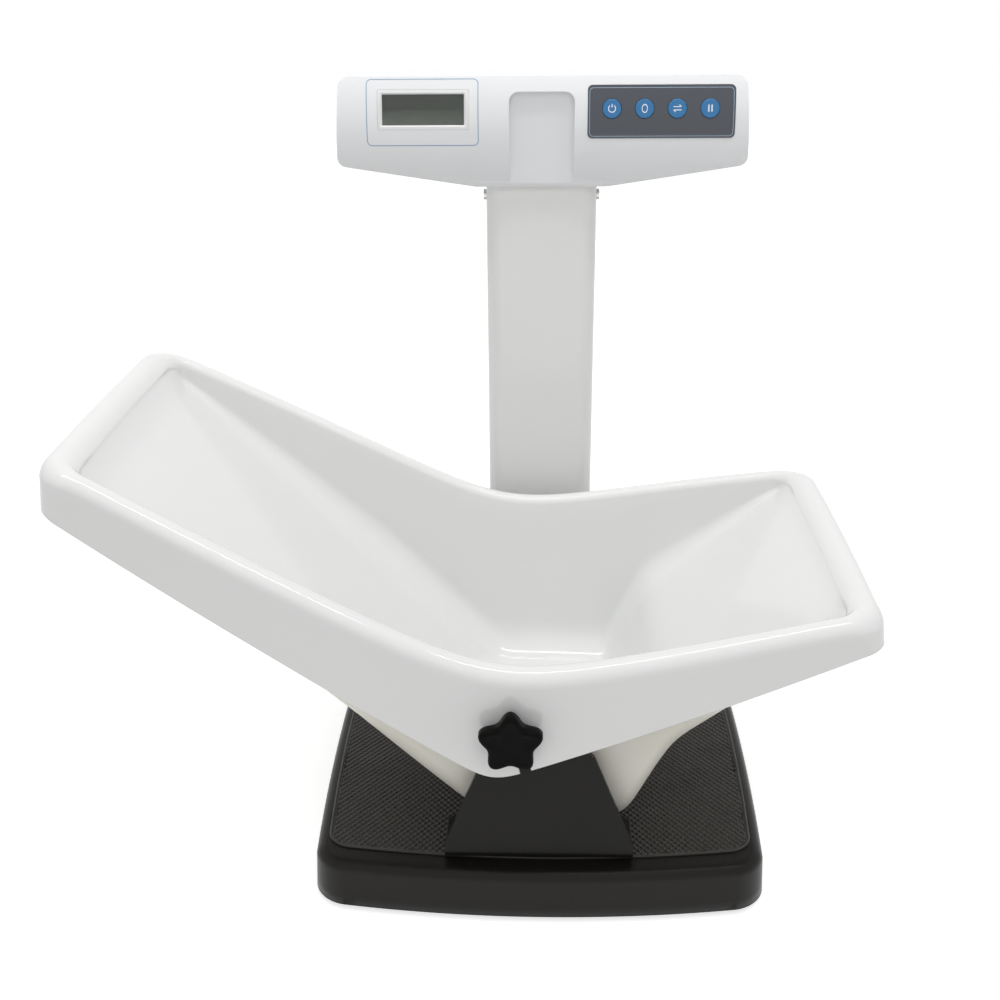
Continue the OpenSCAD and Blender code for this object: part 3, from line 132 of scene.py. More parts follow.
def soften(obj, width, segments=3, angle=35.0):
    """Rounds an object's sharp edges by width in millimetres."""
    bevel = obj.modifiers.new("rounded edges", "BEVEL")
    bevel.width = width * MM
    bevel.segments = segments
    bevel.limit_method = "ANGLE"
    bevel.angle_limit = math.radians(angle)
    bevel.harden_normals = False
    bevel.use_clamp_overlap = True
    normals = obj.modifiers.new("even shading", "WEIGHTED_NORMAL")
    normals.keep_sharp = True
    normals.weight = 60
    return obj


def dressed(node, material, body, width=0.6, segments=3, angle=35.0, limit=0.2):
    """A copy of a CAD node's mesh with rounded edges, which stands for the node."""
    bm = bmesh.new()
    bm.from_mesh(frame["nodes"][node].data)
    bmesh.ops.remove_doubles(bm, verts=bm.verts, dist=2e-6)
    bmesh.ops.dissolve_limit(
        bm, angle_limit=math.radians(limit), verts=bm.verts, edges=bm.edges, delimit={"NORMAL"}
    )
    obj = piece(node + "_shown", bm, [material], body, [node], angle)
    if width > 0:
        soften(obj, width, segments, angle)
    return obj


def soft_max(a, b, k):
    """The larger of two numbers, with a rounded change over about k wide."""
    return max(a, b) + k * math.log1p(math.exp(-abs(a - b) / k))


def soft_min(a, b, k):
    return -soft_max(-a, -b, k)


def arc(start, stop, steps):
    """Even steps from start to stop, both included."""
    return [start + (stop - start) * i / steps for i in range(steps + 1)]


# ---------- materials ----------


def material(name, color, rough, metallic=0.0):
    """A Principled material, with its nodes, links, shader and the object's coordinates."""
    made = bpy.data.materials.new(name)
    made.use_nodes = True
    nodes, links = made.node_tree.nodes, made.node_tree.links
    shader = nodes["Principled BSDF"]
    shader.inputs["Base Color"].default_value = (*color, 1.0)
    shader.inputs["Roughness"].default_value = rough
    shader.inputs["Metallic"].default_value = metallic
    made.diffuse_color = (*color, 1.0)
    coords = nodes.new("ShaderNodeTexCoord")
    return made, nodes, links, shader, coords.outputs["Object"]


def noise(nodes, links, coords, scale, detail=3.0, stretch=None):
    """Noise over the object's coordinates, drawn out where stretch says so."""
    made = nodes.new("ShaderNodeTexNoise")
    made.inputs["Scale"].default_value = scale
    made.inputs["Detail"].default_value = detail
    if stretch:
        mapping = nodes.new("ShaderNodeMapping")
        mapping.inputs["Scale"].default_value = stretch
        links.new(coords, mapping.inputs["Vector"])
        coords = mapping.outputs["Vector"]
    links.new(coords, made.inputs["Vector"])
    return made.outputs["Fac"]


def spread(nodes, links, value, low, high, first=0.3, last=0.7):
    """Maps a value's middle range to low..high."""
    made = nodes.new("ShaderNodeMapRange")
    for key, number in (("From Min", first), ("From Max", last), ("To Min", low), ("To Max", high)):
        made.inputs[key].default_value = number
    links.new(value, made.inputs["Value"])
    return made.outputs["Result"]


def blend_colors(nodes, links, value, dark, light):
    """Runs from the dark colour to the light one as the value goes from 0 to 1."""
    made = nodes.new("ShaderNodeMix")
    made.data_type = "RGBA"
    made.inputs["A"].default_value = (*dark, 1.0)
    made.inputs["B"].default_value = (*light, 1.0)
    links.new(value, made.inputs["Factor"])
    return made.outputs["Result"]


def relief(nodes, links, shader, value, distance, strength=1.0):
    """Bump of a depth in millimetres."""
    made = nodes.new("ShaderNodeBump")
    made.inputs["Distance"].default_value = distance * MM
    made.inputs["Strength"].default_value = strength
    links.new(value, made.inputs["Height"])
    links.new(made.outputs["Normal"], shader.inputs["Normal"])


def moulded(name, color, rough, grain=900.0, depth=0.01, vary=0.03, uneven=0.15, shine=0.5):
    """Plastic or rubber: slight mottling, uneven gloss and a moulded grain."""
    made, nodes, links, shader, coords = material(name, color, rough)
    shade = noise(nodes, links, coords, 14.0, 2.0)
    dark = tuple(c * (1 - vary) for c in color)
    light = tuple(min(c * (1 + vary), 0.95) for c in color)
    links.new(blend_colors(nodes, links, shade, dark, light), shader.inputs["Base Color"])
    gloss = noise(nodes, links, coords, 60.0)
    limits = rough * (1 - uneven), rough * (1 + uneven)
    links.new(spread(nodes, links, gloss, *limits), shader.inputs["Roughness"])
    relief(nodes, links, shader, noise(nodes, links, coords, grain, 2.0), depth)
    shader.inputs["Specular IOR Level"].default_value = shine
    return made


def metal(name, color, rough, stretch=(1.0, 1.0, 30.0), scale=120.0, depth=0.004):
    """Metal with fine drawn lines and uneven polish."""
    made, nodes, links, shader, coords = material(name, color, rough, 1.0)
    lines = noise(nodes, links, coords, scale, 4.0, stretch)
    links.new(spread(nodes, links, lines, rough * 0.7, rough * 1.3), shader.inputs["Roughness"])
    dark = tuple(c * 0.9 for c in color)
    links.new(blend_colors(nodes, links, lines, dark, color), shader.inputs["Base Color"])
    relief(nodes, links, shader, lines, depth)
    return made


tray_gloss = moulded("glossy white tray", (0.78, 0.785, 0.775), 0.09, 90.0, 0.004, 0.01, 0.06)
# underside: its cream is partly the bare plastic's own warm tone, partly painted shade and light
# through the thin sheet
tray_under_shaded = moulded("cream tray underside, partly painted shade", (0.76, 0.74, 0.66), 0.38, 500.0, 0.02, 0.03)
base_black = moulded("satin black platform", (0.010, 0.009, 0.008), 0.32, 1100.0, 0.006, 0.1, 0.1, 0.18)
mat_black = moulded("studded rubber mat", (0.026, 0.022, 0.019), 0.42, 1500.0, 0.01, 0.15, 0.15, 0.5)
foot_black = moulded("soft rubber foot", (0.03, 0.03, 0.03), 0.7, 1500.0, 0.03, 0.1)
bracket_black = moulded(
    "powder-coated bracket", (0.009, 0.0085, 0.0075), 0.33, 1600.0, 0.01, 0.1, 0.1, 0.14
)
knob_black = moulded("matt black knob", (0.003, 0.003, 0.0028), 0.3, 1500.0, 0.006, 0.1, 0.1, 0.05)
head_white = moulded("white head shell", (0.77, 0.78, 0.79), 0.31, 500.0, 0.002, 0.008, 0.06)
bezel_white = moulded("white display frame", (0.77, 0.77, 0.77), 0.36, 500.0, 0.002, 0.01, 0.06)
column_paint = moulded("grey column paint", (0.785, 0.79, 0.775), 0.2, 500.0, 0.002, 0.01, 0.06)
film_slate = moulded("slate key film", (0.030, 0.037, 0.052), 0.13, 500.0, 0.001, 0.05, 0.08, 0.9)
film_line = moulded("pale film border", (0.28, 0.36, 0.46), 0.35, 700.0, 0.003, 0.03)
key_blue = moulded("blue key cap", (0.030, 0.16, 0.36), 0.34, 900.0, 0.004, 0.05, 0.1)
mark_white = moulded("white key mark", (0.78, 0.80, 0.82), 0.4, 900.0, 0.004, 0.02)
outline_blue = moulded("blue display outline", (0.24, 0.34, 0.50), 0.4, 900.0, 0.003, 0.03)
part_black = moulded("black inner plastic", (0.02, 0.02, 0.02), 0.5, 900.0, 0.02, 0.1)
cable_grey = moulded("grey cable jacket", (0.10, 0.10, 0.105), 0.5, 700.0, 0.02, 0.08)
board_green = moulded("green circuit board", (0.02, 0.16, 0.07), 0.35, 300.0, 0.03, 0.35)
battery_wrap = moulded("battery wrap", (0.55, 0.40, 0.12), 0.3, 500.0, 0.01, 0.2)
steel = metal("brushed steel", (0.62, 0.62, 0.63), 0.3)
plated = metal("plated steel", (0.70, 0.70, 0.69), 0.2, (1.0, 1.0, 1.0), 300.0)
alloy = metal("milled alloy", (0.72, 0.73, 0.75), 0.32, (1.0, 40.0, 1.0))
brass = metal("turned brass", (0.78, 0.58, 0.25), 0.25)


def display_material():
    """Unlit liquid-crystal panel: grey-green with a fine grain; its darkening towards the top is
    painted shade.
    """
    made, nodes, links, shader, coords = material("display panel", (0.10, 0.12, 0.10), 0.35)
    split = nodes.new("ShaderNodeSeparateXYZ")
    links.new(coords, split.inputs["Vector"])
    # painted shade: the panel's colour darkens towards its top
    height = spread(
        nodes, links, split.outputs["Z"], 0.0, 1.0, (PANEL_Z - 13) * MM, (PANEL_Z + 13) * MM
    )
    links.new(
        blend_colors(nodes, links, height, (0.052, 0.068, 0.040), (0.026, 0.034, 0.021)),
        shader.inputs["Base Color"],
    )
    relief(nodes, links, shader, noise(nodes, links, coords, 1200.0), 0.004)
    return made


def window_material():
    """Clear plastic window over the display, with a faint haze."""
    made, nodes, links, shader, coords = material("display window", (0.9, 0.93, 0.91), 0.06)
    shader.inputs["Transmission Weight"].default_value = 1.0
    shader.inputs["IOR"].default_value = 1.46
    haze = noise(nodes, links, coords, 90.0)
    links.new(spread(nodes, links, haze, 0.03, 0.10), shader.inputs["Roughness"])
    return made


display_dark = display_material()
window_clear = window_material()

# every CAD node's finish, by its record slot
FINISH = {
    "platform_black": base_black,
    "mat_rubber": mat_black,
    "foot_rubber": foot_black,
    "tray_white": tray_gloss,
    "bracket_black": bracket_black,
    "knob_black": knob_black,
    "column_grey": column_paint,
    "head_white": head_white,
    "bezel_white": bezel_white,
    "display_glass": window_clear,
    "lcd_dark": display_dark,
    "film_slate": film_slate,
    "key_blue": key_blue,
    "steel": steel,
    "cell_alloy": alloy,
    "brass": brass,
    "board_green": board_green,
    "part_black": part_black,
    "battery_wrap": battery_wrap,
    "cable_grey": cable_grey,
    "plated_steel": plated,
}
SLOT_OF = {part["node"]: part["material_slot"] for part in frame["record"]["subparts"]}
for node, obj in frame["nodes"].items():
    if not obj.material_slots:
        obj.data.materials.append(None)
    for used in obj.material_slots:
        used.material = FINISH[SLOT_OF[node]]


# ---------- cradle tray ----------


def rim_height(x):
    """Height of the rim's top."""
    cap = RIM_BACK_CAP if x < BEND_X else RIM_LEG_CAP
    back, leg = RIM_Z - RIM_BACK_SLOPE * (x - BEND_X), RIM_Z + RIM_LEG_SLOPE * (x - BEND_X)
    return soft_min(RIM_Z + cap, soft_max(back, leg, 17.0), 5.0)


def skirt_height(x):
    """Height of the skirt's lower edge."""
    u = x - BEND_X + 3.0
    return soft_max(SKIRT_Z - SKIRT_BACK_SLOPE * u, SKIRT_Z + SKIRT_LEG_SLOPE * u, 7.0)


def cavity_height(x):
    """Height of the panels that the child lies on."""
    back = CAVITY_Z - BACK_SLOPE * (x - BACK_X)
    leg = soft_min(KNEE_Z + LEG_SLOPE * (x - KNEE_X), KNEE_Z + THIGH_SLOPE * (x - KNEE_X), 5.0)
    floor = soft_max(soft_max(CAVITY_Z, back, 6.0), leg, 6.0)
    return soft_min(rim_height(x) - 14.0, floor, 3.0)


def tray_stations(n_side, n_end, n_corner):
    """Round the tray from its front left: (point of the inner rectangle, way out, corner's way)."""
    w, d = TRAY_LEN / 2 - TRAY_CORNER, TRAY_HALF - TRAY_CORNER
    corners = ((-w, -d), (w, -d), (w, d), (-w, d))
    found = []
    for k, p in enumerate(corners):
        q, count = corners[(k + 1) % 4], (n_side, n_end)[k % 2]
        facing = math.radians(90.0 * k - 90.0)
        way = Vector((math.cos(facing), math.sin(facing)))
        for i in range(count):
            found.append((Vector(p).lerp(Vector(q), i / count), way, way))
        for i in range(n_corner):
            a = facing + math.radians(90.0) * i / n_corner
            corner = Vector((math.copysign(1.0, q[0]), math.copysign(1.0, q[1])))
            found.append((Vector(q), Vector((math.cos(a), math.sin(a))), corner))
    return found


def tray_plan(station, inset, sharp=0.0):
    """Point of the plan drawn in by inset; sharp takes that much off the corners' radius."""
    spot, way, corner = station
    radius = max(TRAY_CORNER - inset, CORNER_LEAST)
    deeper = inset + radius - TRAY_CORNER
    turn = corner * sharp + way * (radius - sharp)
    px = spot.x * (1 - deeper / (TRAY_LEN / 2 - TRAY_CORNER)) + turn.x
    py = spot.y * (1 - deeper / (TRAY_HALF - TRAY_CORNER)) + turn.y
    x = px * (1 - 2.0 / (TRAY_LEN / 2) * (py / TRAY_HALF) ** 2) + TRAY_MID
    y = py * (1 - TRAY_BOW / TRAY_HALF * (px / (TRAY_LEN / 2)) ** 2)
    return x, y


def tray_section(station):
    """Points from the skirt's lower edge over the rolled rim, down the wall to the panels."""
    rows = []
    for inset, rise in ((1.4, 0.0), (0.7, 0.2), (0.2, 0.7), (0.0, 1.4)):
        x, y = tray_plan(station, inset, SKIRT_SHARP)
        rows.append((x, y, skirt_height(x) + rise))
    for t in (0.25, 0.5, 0.75):
        x, y = tray_plan(station, 0.0, SKIRT_SHARP + (RIM_SHARP - SKIRT_SHARP) * t)
        low, high = skirt_height(x), rim_height(x) - ROLL_OUT
        rows.append((x, y, low + (high - low) * t))
    for a in arc(0.0, 90.0, 9):
        c, s = math.cos(math.radians(a)), math.sin(math.radians(a))
        x, y = tray_plan(station, ROLL_OUT * (1 - c), RIM_SHARP * (1 - s))
        rows.append((x, y, rim_height(x) - ROLL_OUT * (1 - s)))
    x, y = tray_plan(station, RIM)
    wall = max(rim_height(x) - ROLL_IN - cavity_height(x), 2.0)
    # the ends rise in one soft S, the side walls turn over a tight roll
    low_wall = station[1].x ** 2
    roll = ROLL_IN + 9.0 * low_wall
    crease = min(34.0, 0.35 * wall + 1.0) * (1 - low_wall) + 22.0 * low_wall
    drop = rim_height(x) - cavity_height(x)
    lean = WALL_STEEP
    # where the wall is too low for both roundings, they meet on the way
    if (roll + crease) * (1 - math.cos(math.radians(lean))) > drop:
        lean = math.degrees(math.acos(max(1 - drop / (roll + crease), -1.0)))
    for a in arc(0.0, lean, 8)[1:]:
        c, s = math.cos(math.radians(a)), math.sin(math.radians(a))
        x, y = tray_plan(station, ROLL_OUT + roll * s)
        rows.append((x, y, rim_height(x) - roll * (1 - c)))
    sine = math.sin(math.radians(lean))
    foot = ROLL_OUT + roll * sine + 0.1 * max(wall - crease, 0.0) * (1 - low_wall)
    foot -= crease * (1 - sine)
    crease_rows = []
    for a in arc(90.0 - lean, 90.0, 12):
        c, s = math.cos(math.radians(a)), math.sin(math.radians(a))
        x, y = tray_plan(station, foot + crease * (1 - c))
        crease_rows.append((x, y, cavity_height(x) + crease * (1 - s)))
    first, last = Vector(rows[-1]), Vector(crease_rows[0])
    for t in (0.2, 0.4, 0.6, 0.8):
        rows.append(tuple(first.lerp(last, t)))
    rows += crease_rows
    near = foot + crease
    far = max(near + 6.0, PANEL_INSET)
    for t in (0.25, 0.5, 0.75, 1.0):
        x, y = tray_plan(station, near + (far - near) * t)
        rows.append((x, y, cavity_height(x)))
    return rows


def coons(front, rear, left, right, i, j):
    """Point i across and j deep of a patch between four edge curves."""
    u = (front[i].x - front[0].x) / (front[-1].x - front[0].x)
    v = (left[j].y - left[0].y) / (left[-1].y - left[0].y) * (1 - u)
    v += (right[j].y - right[0].y) / (right[-1].y - right[0].y) * u
    across = front[i].lerp(rear[i], v)
    along = left[j].lerp(right[j], u)
    corner = front[0].lerp(front[-1], u).lerp(rear[0].lerp(rear[-1], u), v)
    return across + along - corner


def cut_slot(bm):
    """Opens the skirt on both sides for the studs: round at its top, open below."""
    lean = math.radians(SLOT_LEAN)
    down = Vector((math.sin(lean), 0.0, -math.cos(lean)))
    across = Vector((math.cos(lean), 0.0, math.sin(lean)))
    stud = Vector((STUD_X, 0.0, STUD_Z))
    near = []
    for face in bm.faces:
        c = face.calc_center_median()
        if abs(c.y) > TRAY_HALF - 8.0 and abs(c.x - STUD_X) < 40.0 and c.z < STUD_Z + 15:
            near.append(face)
    for turn in arc(0.0, 180.0, 8):
        a = math.radians(turn)
        out = across * math.cos(a) - down * math.sin(a)
        geom = near + parts_of(near, "edges") + parts_of(near, "verts")
        cut = bmesh.ops.bisect_plane(
            bm, geom=geom, dist=1e-4, plane_co=stud + out * SLOT_HALF, plane_no=out
        )
        near = [g for g in cut["geom"] if isinstance(g, bmesh.types.BMFace)]
    inside = []
    for face in near:
        p = face.calc_center_median() - stud
        along, off = p.dot(down), abs(p.dot(across))
        if off < SLOT_HALF if along > 0 else math.hypot(along, off) < SLOT_HALF + 0.02:
            inside.append(face)
    bmesh.ops.delete(bm, geom=inside, context="FACES")


def make_tray():
    """Cradle tray: one skin from the skirt's edge to the panels, thickened by the wall."""
    n_side, n_end, n_corner = 150, 44, 14
    sections = [tray_section(s) for s in tray_stations(n_side, n_end, n_corner)]
    count, depth = len(sections), len(sections[0])
    bm = bmesh.new()
    band(bm, count, depth, lambda i, k: sections[i][k])
    # the panels: a grid whose edge is the wall's last row, from corner to corner
    wide, deep = n_side + n_corner, n_end + n_corner
    start = count - n_corner // 2
    edge = [Vector(sections[(start + i) % count][-1]) for i in range(count + 1)]
    front, right = edge[: wide + 1], edge[wide : wide + deep + 1]
    rear = edge[wide + deep : 2 * wide + deep + 1][::-1]
    left = edge[2 * wide + deep : count + 1][::-1]
    for v in bmesh.ops.create_grid(bm, x_segments=wide, y_segments=deep, size=0.5)["verts"]:
        p = coons(front, rear, left, right, round((v.co.x + 0.5) * wide), round((v.co.y + 0.5) * deep))
        v.co = (p.x, p.y, cavity_height(p.x))
    bmesh.ops.remove_doubles(bm, verts=bm.verts, dist=0.02)
    bmesh.ops.recalc_face_normals(bm, faces=bm.faces)
    # both end walls run into their panels in a broad fillet
    axes = {"use_axis_x": True, "use_axis_y": True, "use_axis_z": True}
    head_end, foot_end = TRAY_REACH - TRAY_LEN, TRAY_REACH
    ends = [v for v in bm.verts
            if 22.0 < min(v.co.x - head_end, foot_end - v.co.x) < 56.0 and abs(v.co.y) < 96.0]
    for _ in range(8):
        bmesh.ops.smooth_vert(bm, verts=ends, factor=0.5, **axes)
    cut_slot(bm)
    place(bm)
    tray = piece("tray_shown", bm, [tray_gloss, tray_under_shaded], "tray", ["cradle_tray"], 80)
    wall = tray.modifiers.new("wall", "SOLIDIFY")
    wall.thickness = TRAY_WALL * MM
    wall.offset = -1.0
    # the inner face gets the underside material, whose cream tone is partly painted shade
    wall.material_offset = 1
    wall.material_offset_rim = 0
    return tray


# ---------- platform ----------


def base_outline(inset_x, inset_y, corner=0.0, fine=1):
    """Outline of the platform drawn in by the insets; its sides bulge like a barrel's."""
    r = corner or max(BASE_CORNER - max(inset_x, inset_y), 6.0)
    w, d = BASE_X - inset_x, BASE_Y - inset_y
    points = []
    corners = ((w - r, -(d - r)), (w - r, d - r), (-(w - r), d - r), (-(w - r), -(d - r)))
    sides = 10 * fine
    turns = 6 * fine
    for k, (cx, cy) in enumerate(corners):
        bx, by = corners[k - 1]
        facing = math.radians(90.0 * k - 90.0)
        for i in range(sides):
            t = i / sides
            points.append((bx + (cx - bx) * t + r * math.cos(facing),
                           by + (cy - by) * t + r * math.sin(facing)))
        for i in range(turns):
            a = facing + math.radians(90.0) * i / turns
            points.append((cx + r * math.cos(a), cy + r * math.sin(a)))
    return [(x * (1 - 0.035 * (y / d) ** 2), BASE_MID + y * (1 - 0.07 * (x / w) ** 2))
            for x, y in points]


def mat_outline(inset):
    """Outline of the mat, notched round the column."""
    points = base_outline(MAT_EDGE_X + inset, MAT_EDGE_Y + inset, 16.0 - inset, 3)
    side = len(points) // 4
    first, count = 2 * side, side - 18
    half, deep = COLUMN_W / 2 + 1.0 + inset, COLUMN_Y - 1.0 - inset
    corner = points[first][0]
    third = count // 3
    for i in range(1, 3 * third):
        if i < third or i >= 2 * third:
            x = corner + (half - corner) * min(i, 3 * third - i) / (third - 1 if i < third else third)
            x = min(corner, max(half, x)) if i < third else max(-corner, -x)
            t = x / (BASE_X - MAT_EDGE_X - inset)
            y = BASE_MID + (BASE_Y - MAT_EDGE_Y - inset) * (1 - 0.07 * t**2)
        else:
            x, y = half * (1 - 2 * (i - third) / (third - 1)), deep
        points[first + i] = (x, y)
    return points


def make_base():
    """Platform shell, open below, with a broad rounding round its top."""
    # rows: how far drawn in, and height
    rows = [(7.5, BASE_TOP - BASE_WALL), (4.5, BASE_TOP - BASE_WALL - 3.0), (3.0, BASE_GAP),
            (0.6, BASE_GAP), (0.0, BASE_GAP + 0.6), (0.5, 14.0), (1.0, 24.0)]
    for a in arc(0.0, 90.0, 10):
        c, s = math.cos(math.radians(a)), math.sin(math.radians(a))
        rows.append((1.5 + BASE_ROUND * (1 - c), BASE_TOP - BASE_ROUND * (1 - s)))
    rows.append((13.0, BASE_TOP))
    outlines = [base_outline(inset, inset, fine=3) for inset, _ in rows]
    bm = bmesh.new()
    band(bm, len(outlines[0]), len(rows), lambda i, k: (*outlines[k][i], rows[k][1]))
    close_holes(bm)
    place(bm)
    return piece("platform_shown", bm, [base_black], "stand", ["base_housing"], 50)


def make_mat():
    """Rubber mat: a thin bead round a field of small diamond studs."""
    top = BASE_TOP + MAT_T
    groove = top - DIAMOND_RISE
    # a square grid sheared so that its lines cross as the mat's grooves do, then cut to the outline
    bm = bmesh.new()
    n = 160
    bmesh.ops.create_grid(bm, x_segments=n, y_segments=n, size=n / 2)
    shear = Matrix(((DIAMOND_X, DIAMOND_X, 0, 0), (DIAMOND_Y, -DIAMOND_Y, 0, BASE_MID),
                    (0, 0, 1, groove), (0, 0, 0, 1)))
    bmesh.ops.transform(bm, matrix=shear, verts=bm.verts)
    inner = base_outline(MAT_EDGE_X + 2.6, MAT_EDGE_Y + 2.6, 13.4, 1)
    notch, back = COLUMN_W / 2 + 3.6, COLUMN_Y - 3.6
    cuts = [((ax, ay, 0.0), (by - ay, ax - bx, 0.0), True)
            for (ax, ay), (bx, by) in zip(inner, inner[1:] + inner[:1])]
    cuts += [((-notch, 0, 0), (-1, 0, 0), False), ((notch, 0, 0), (1, 0, 0), False),
             ((0, back, 0), (0, 1, 0), False)]
    for point, way, clear in cuts:
        geom = bm.verts[:] + bm.edges[:] + bm.faces[:]
        bmesh.ops.bisect_plane(
            bm, geom=geom, dist=1e-4, plane_co=point, plane_no=way, clear_outer=clear
        )
    centres = [(f, f.calc_center_median()) for f in bm.faces]
    behind = [f for f, c in centres if abs(c.x) < notch and c.y > back]
    bmesh.ops.delete(bm, geom=behind, context="FACES")
    studs = [f for f in bm.faces if f.calc_area() > 3.0]
    bmesh.ops.inset_individual(bm, faces=studs, thickness=DIAMOND_GAP, depth=0.0, use_even_offset=True)
    bmesh.ops.translate(bm, verts=parts_of(studs, "verts"), vec=(0, 0, top - 0.03 - groove))
    skirt = bmesh.ops.extrude_edge_only(bm, edges=[e for e in bm.edges if e.is_boundary])["geom"]
    lower = [g for g in skirt if isinstance(g, bmesh.types.BMVert)]
    bmesh.ops.translate(bm, verts=lower, vec=(0, 0, -0.3))
    # border with its raised bead
    rows = [(0.0, BASE_TOP), (0.0, top - 0.5), (0.35, top - 0.1), (1.0, top), (1.7, top - 0.1),
            (2.0, groove), (4.0, groove - 0.1)]
    outlines = [mat_outline(inset) for inset, _ in rows]
    band(bm, len(outlines[0]), len(rows), lambda i, k: (*outlines[k][i], rows[k][1]))
    close_holes(bm)
    place(bm)
    return piece("mat_shown", bm, [mat_black], "stand", ["platform_mat"], 12)


# ---------- star knob ----------


def star(angle, grown):
    """Radius of the knob's outline, one lobe up, grown by a distance."""
    reach = (KNOB_TIP - KNOB_VALLEY) / 2
    lobes = math.cos(5 * (angle - math.pi / 2)) + 0.08 * math.cos(10 * (angle - math.pi / 2)) - 0.08
    return (KNOB_TIP + KNOB_VALLEY) / 2 + grown + reach * lobes


def make_knob():
    """Five-lobed knob, drawn along +Z from its hub and then turned to face the front."""
    count, hub, body = 200, 3.0, KNOB_T - 3.0
    # rows: hub radius or growth of the star's outline, and height
    rows = [("hub", r, z) for r, z in
            ((6.5, 12.0), (6.5, 0.0), (10.6, 0.0), (11.0, 0.4), (11.0, hub))]
    rows += [("star", grown, hub + z) for grown, z in
             ((-2.6, 0.0), (-1.3, 0.35), (-0.4, 1.1), (0.0, 2.2), (0.0, body - KNOB_ROUND))]
    rows += [("star", -KNOB_ROUND * (1 - math.cos(a)), KNOB_T - KNOB_ROUND * (1 - math.sin(a)))
             for a in (math.radians(d) for d in arc(0.0, 90.0, 7)[1:])]
    rows += [("star", -5.0, KNOB_T - 0.02), ("star", -6.4, KNOB_T - 0.35), ("star", -8.5, KNOB_T - 0.5)]

    def point(i, k):
        kind, size, z = rows[k]
        a = 2 * math.pi * i / count
        r = size if kind == "hub" else star(a, size)
        return STUD_X + r * math.cos(a), -(KNOB_Y + z), STUD_Z + r * math.sin(a)

    bm = bmesh.new()
    band(bm, count, len(rows), point)
    close_holes(bm)
    place(bm)
    return piece("knob_shown", bm, [knob_black], "knob", ["star_knob"], 40)


# ---------- head's panel ----------


def panel_point(x, down, out):
    """Point on the head's crowned face: x across, down the face from the keys' row, out of it."""
    a = PANEL_TILT - down / CROWN_R
    r = CROWN_R + out
    return (x, HEAD_FRONT + CROWN_R - r * math.cos(a), HEAD_MID + r * math.sin(a))


def face_line(bm, points, width, out, thick):
    """Narrow raised line round closed points given as (x, down the face)."""
    n = len(points)

    def point(i, k):
        t = (Vector(points[(i + 1) % n]) - Vector(points[i - 1])).normalized()
        s, o = ((0.5, -thick), (0.5, 0.0), (-0.5, 0.0), (-0.5, -thick), (0.5, -thick))[k]
        return panel_point(points[i][0] + s * width * t.y, points[i][1] - s * width * t.x, out + o)

    band(bm, n, 5, point)
    bmesh.ops.remove_doubles(bm, verts=bm.verts, dist=1e-4)
    bmesh.ops.recalc_face_normals(bm, faces=bm.faces)
    place(bm)


def rounded_box(x0, x1, y0, y1, r, steps=6, side=10):
    """Points round a rectangle with rounded corners."""
    points = []
    corners = ((x1 - r, y0 + r), (x1 - r, y1 - r), (x0 + r, y1 - r), (x0 + r, y0 + r))
    for k, (cx, cy) in enumerate(corners):
        bx, by = corners[k - 1]
        facing = math.radians(90.0 * k - 90.0)
        for i in range(side):
            t = i / side
            points.append((bx + (cx - bx) * t + r * math.cos(facing),
                           by + (cy - by) * t + r * math.sin(facing)))
        for i in range(steps):
            a = facing + math.radians(90.0) * i / steps
            points.append((cx + r * math.cos(a), cy + r * math.sin(a)))
    return points


def make_outlines():
    """Thin printed line round the display and pale border near the key film's edge."""
    bm = bmesh.new()
    face_line(bm, rounded_box(-146.0, -53.0, -25.0, 29.0, 4.0), 0.7, 0.08, 0.3)
    piece("display_outline", bm, [outline_blue], "stand", (), 40)
    bm = bmesh.new()
    half_w, half_h, below = PAD_W / 2 - 1.6, PAD_H / 2 - 1.6, 2.5
    film = rounded_box(PAD_X - half_w, PAD_X + half_w, below - half_h, below + half_h, 3.2)
    face_line(bm, film, 0.5, 0.46, 0.3)
    piece("film_border", bm, [film_line], "stand", (), 40)


def key_frame(x):
    """Matrix of a key's top: +X across, +Y up the face, +Z out of it."""
    y = HEAD_FRONT + CROWN_R - CROWN_R * math.cos(PANEL_TILT)
    out = Vector((0.0, -math.cos(PANEL_TILT), math.sin(PANEL_TILT)))
    up = Vector((0.0, math.sin(PANEL_TILT), math.cos(PANEL_TILT)))
    turn = Matrix((Vector((1.0, 0.0, 0.0)), up, out)).transposed().to_4x4()
    return Matrix.Translation((x, y, PANEL_Z)) @ turn


def bar(bm, start, stop, width, low, high):
    """Straight stroke of a key mark."""
    a, b = Vector((*start, (low + high) / 2)), Vector((*stop, (low + high) / 2))
    turn = Matrix.Rotation(math.atan2(b.y - a.y, b.x - a.x), 4, "Z")
    size = Matrix.Diagonal(((b - a).length + width * 0.6, width, high - low, 1.0))
    where = Matrix.Translation((a + b) / 2) @ turn @ size
    made = bmesh.ops.create_cube(bm, size=1.0, matrix=where)["verts"]
    edges = parts_of(made, "link_edges")
    edges = [e for e in edges if abs(e.verts[0].co.z - e.verts[1].co.z) > 0.01]
    bmesh.ops.bevel(bm, geom=edges, offset=width * 0.4, offset_type="OFFSET", segments=3, profile=0.5,
                    affect="EDGES", material=-1)


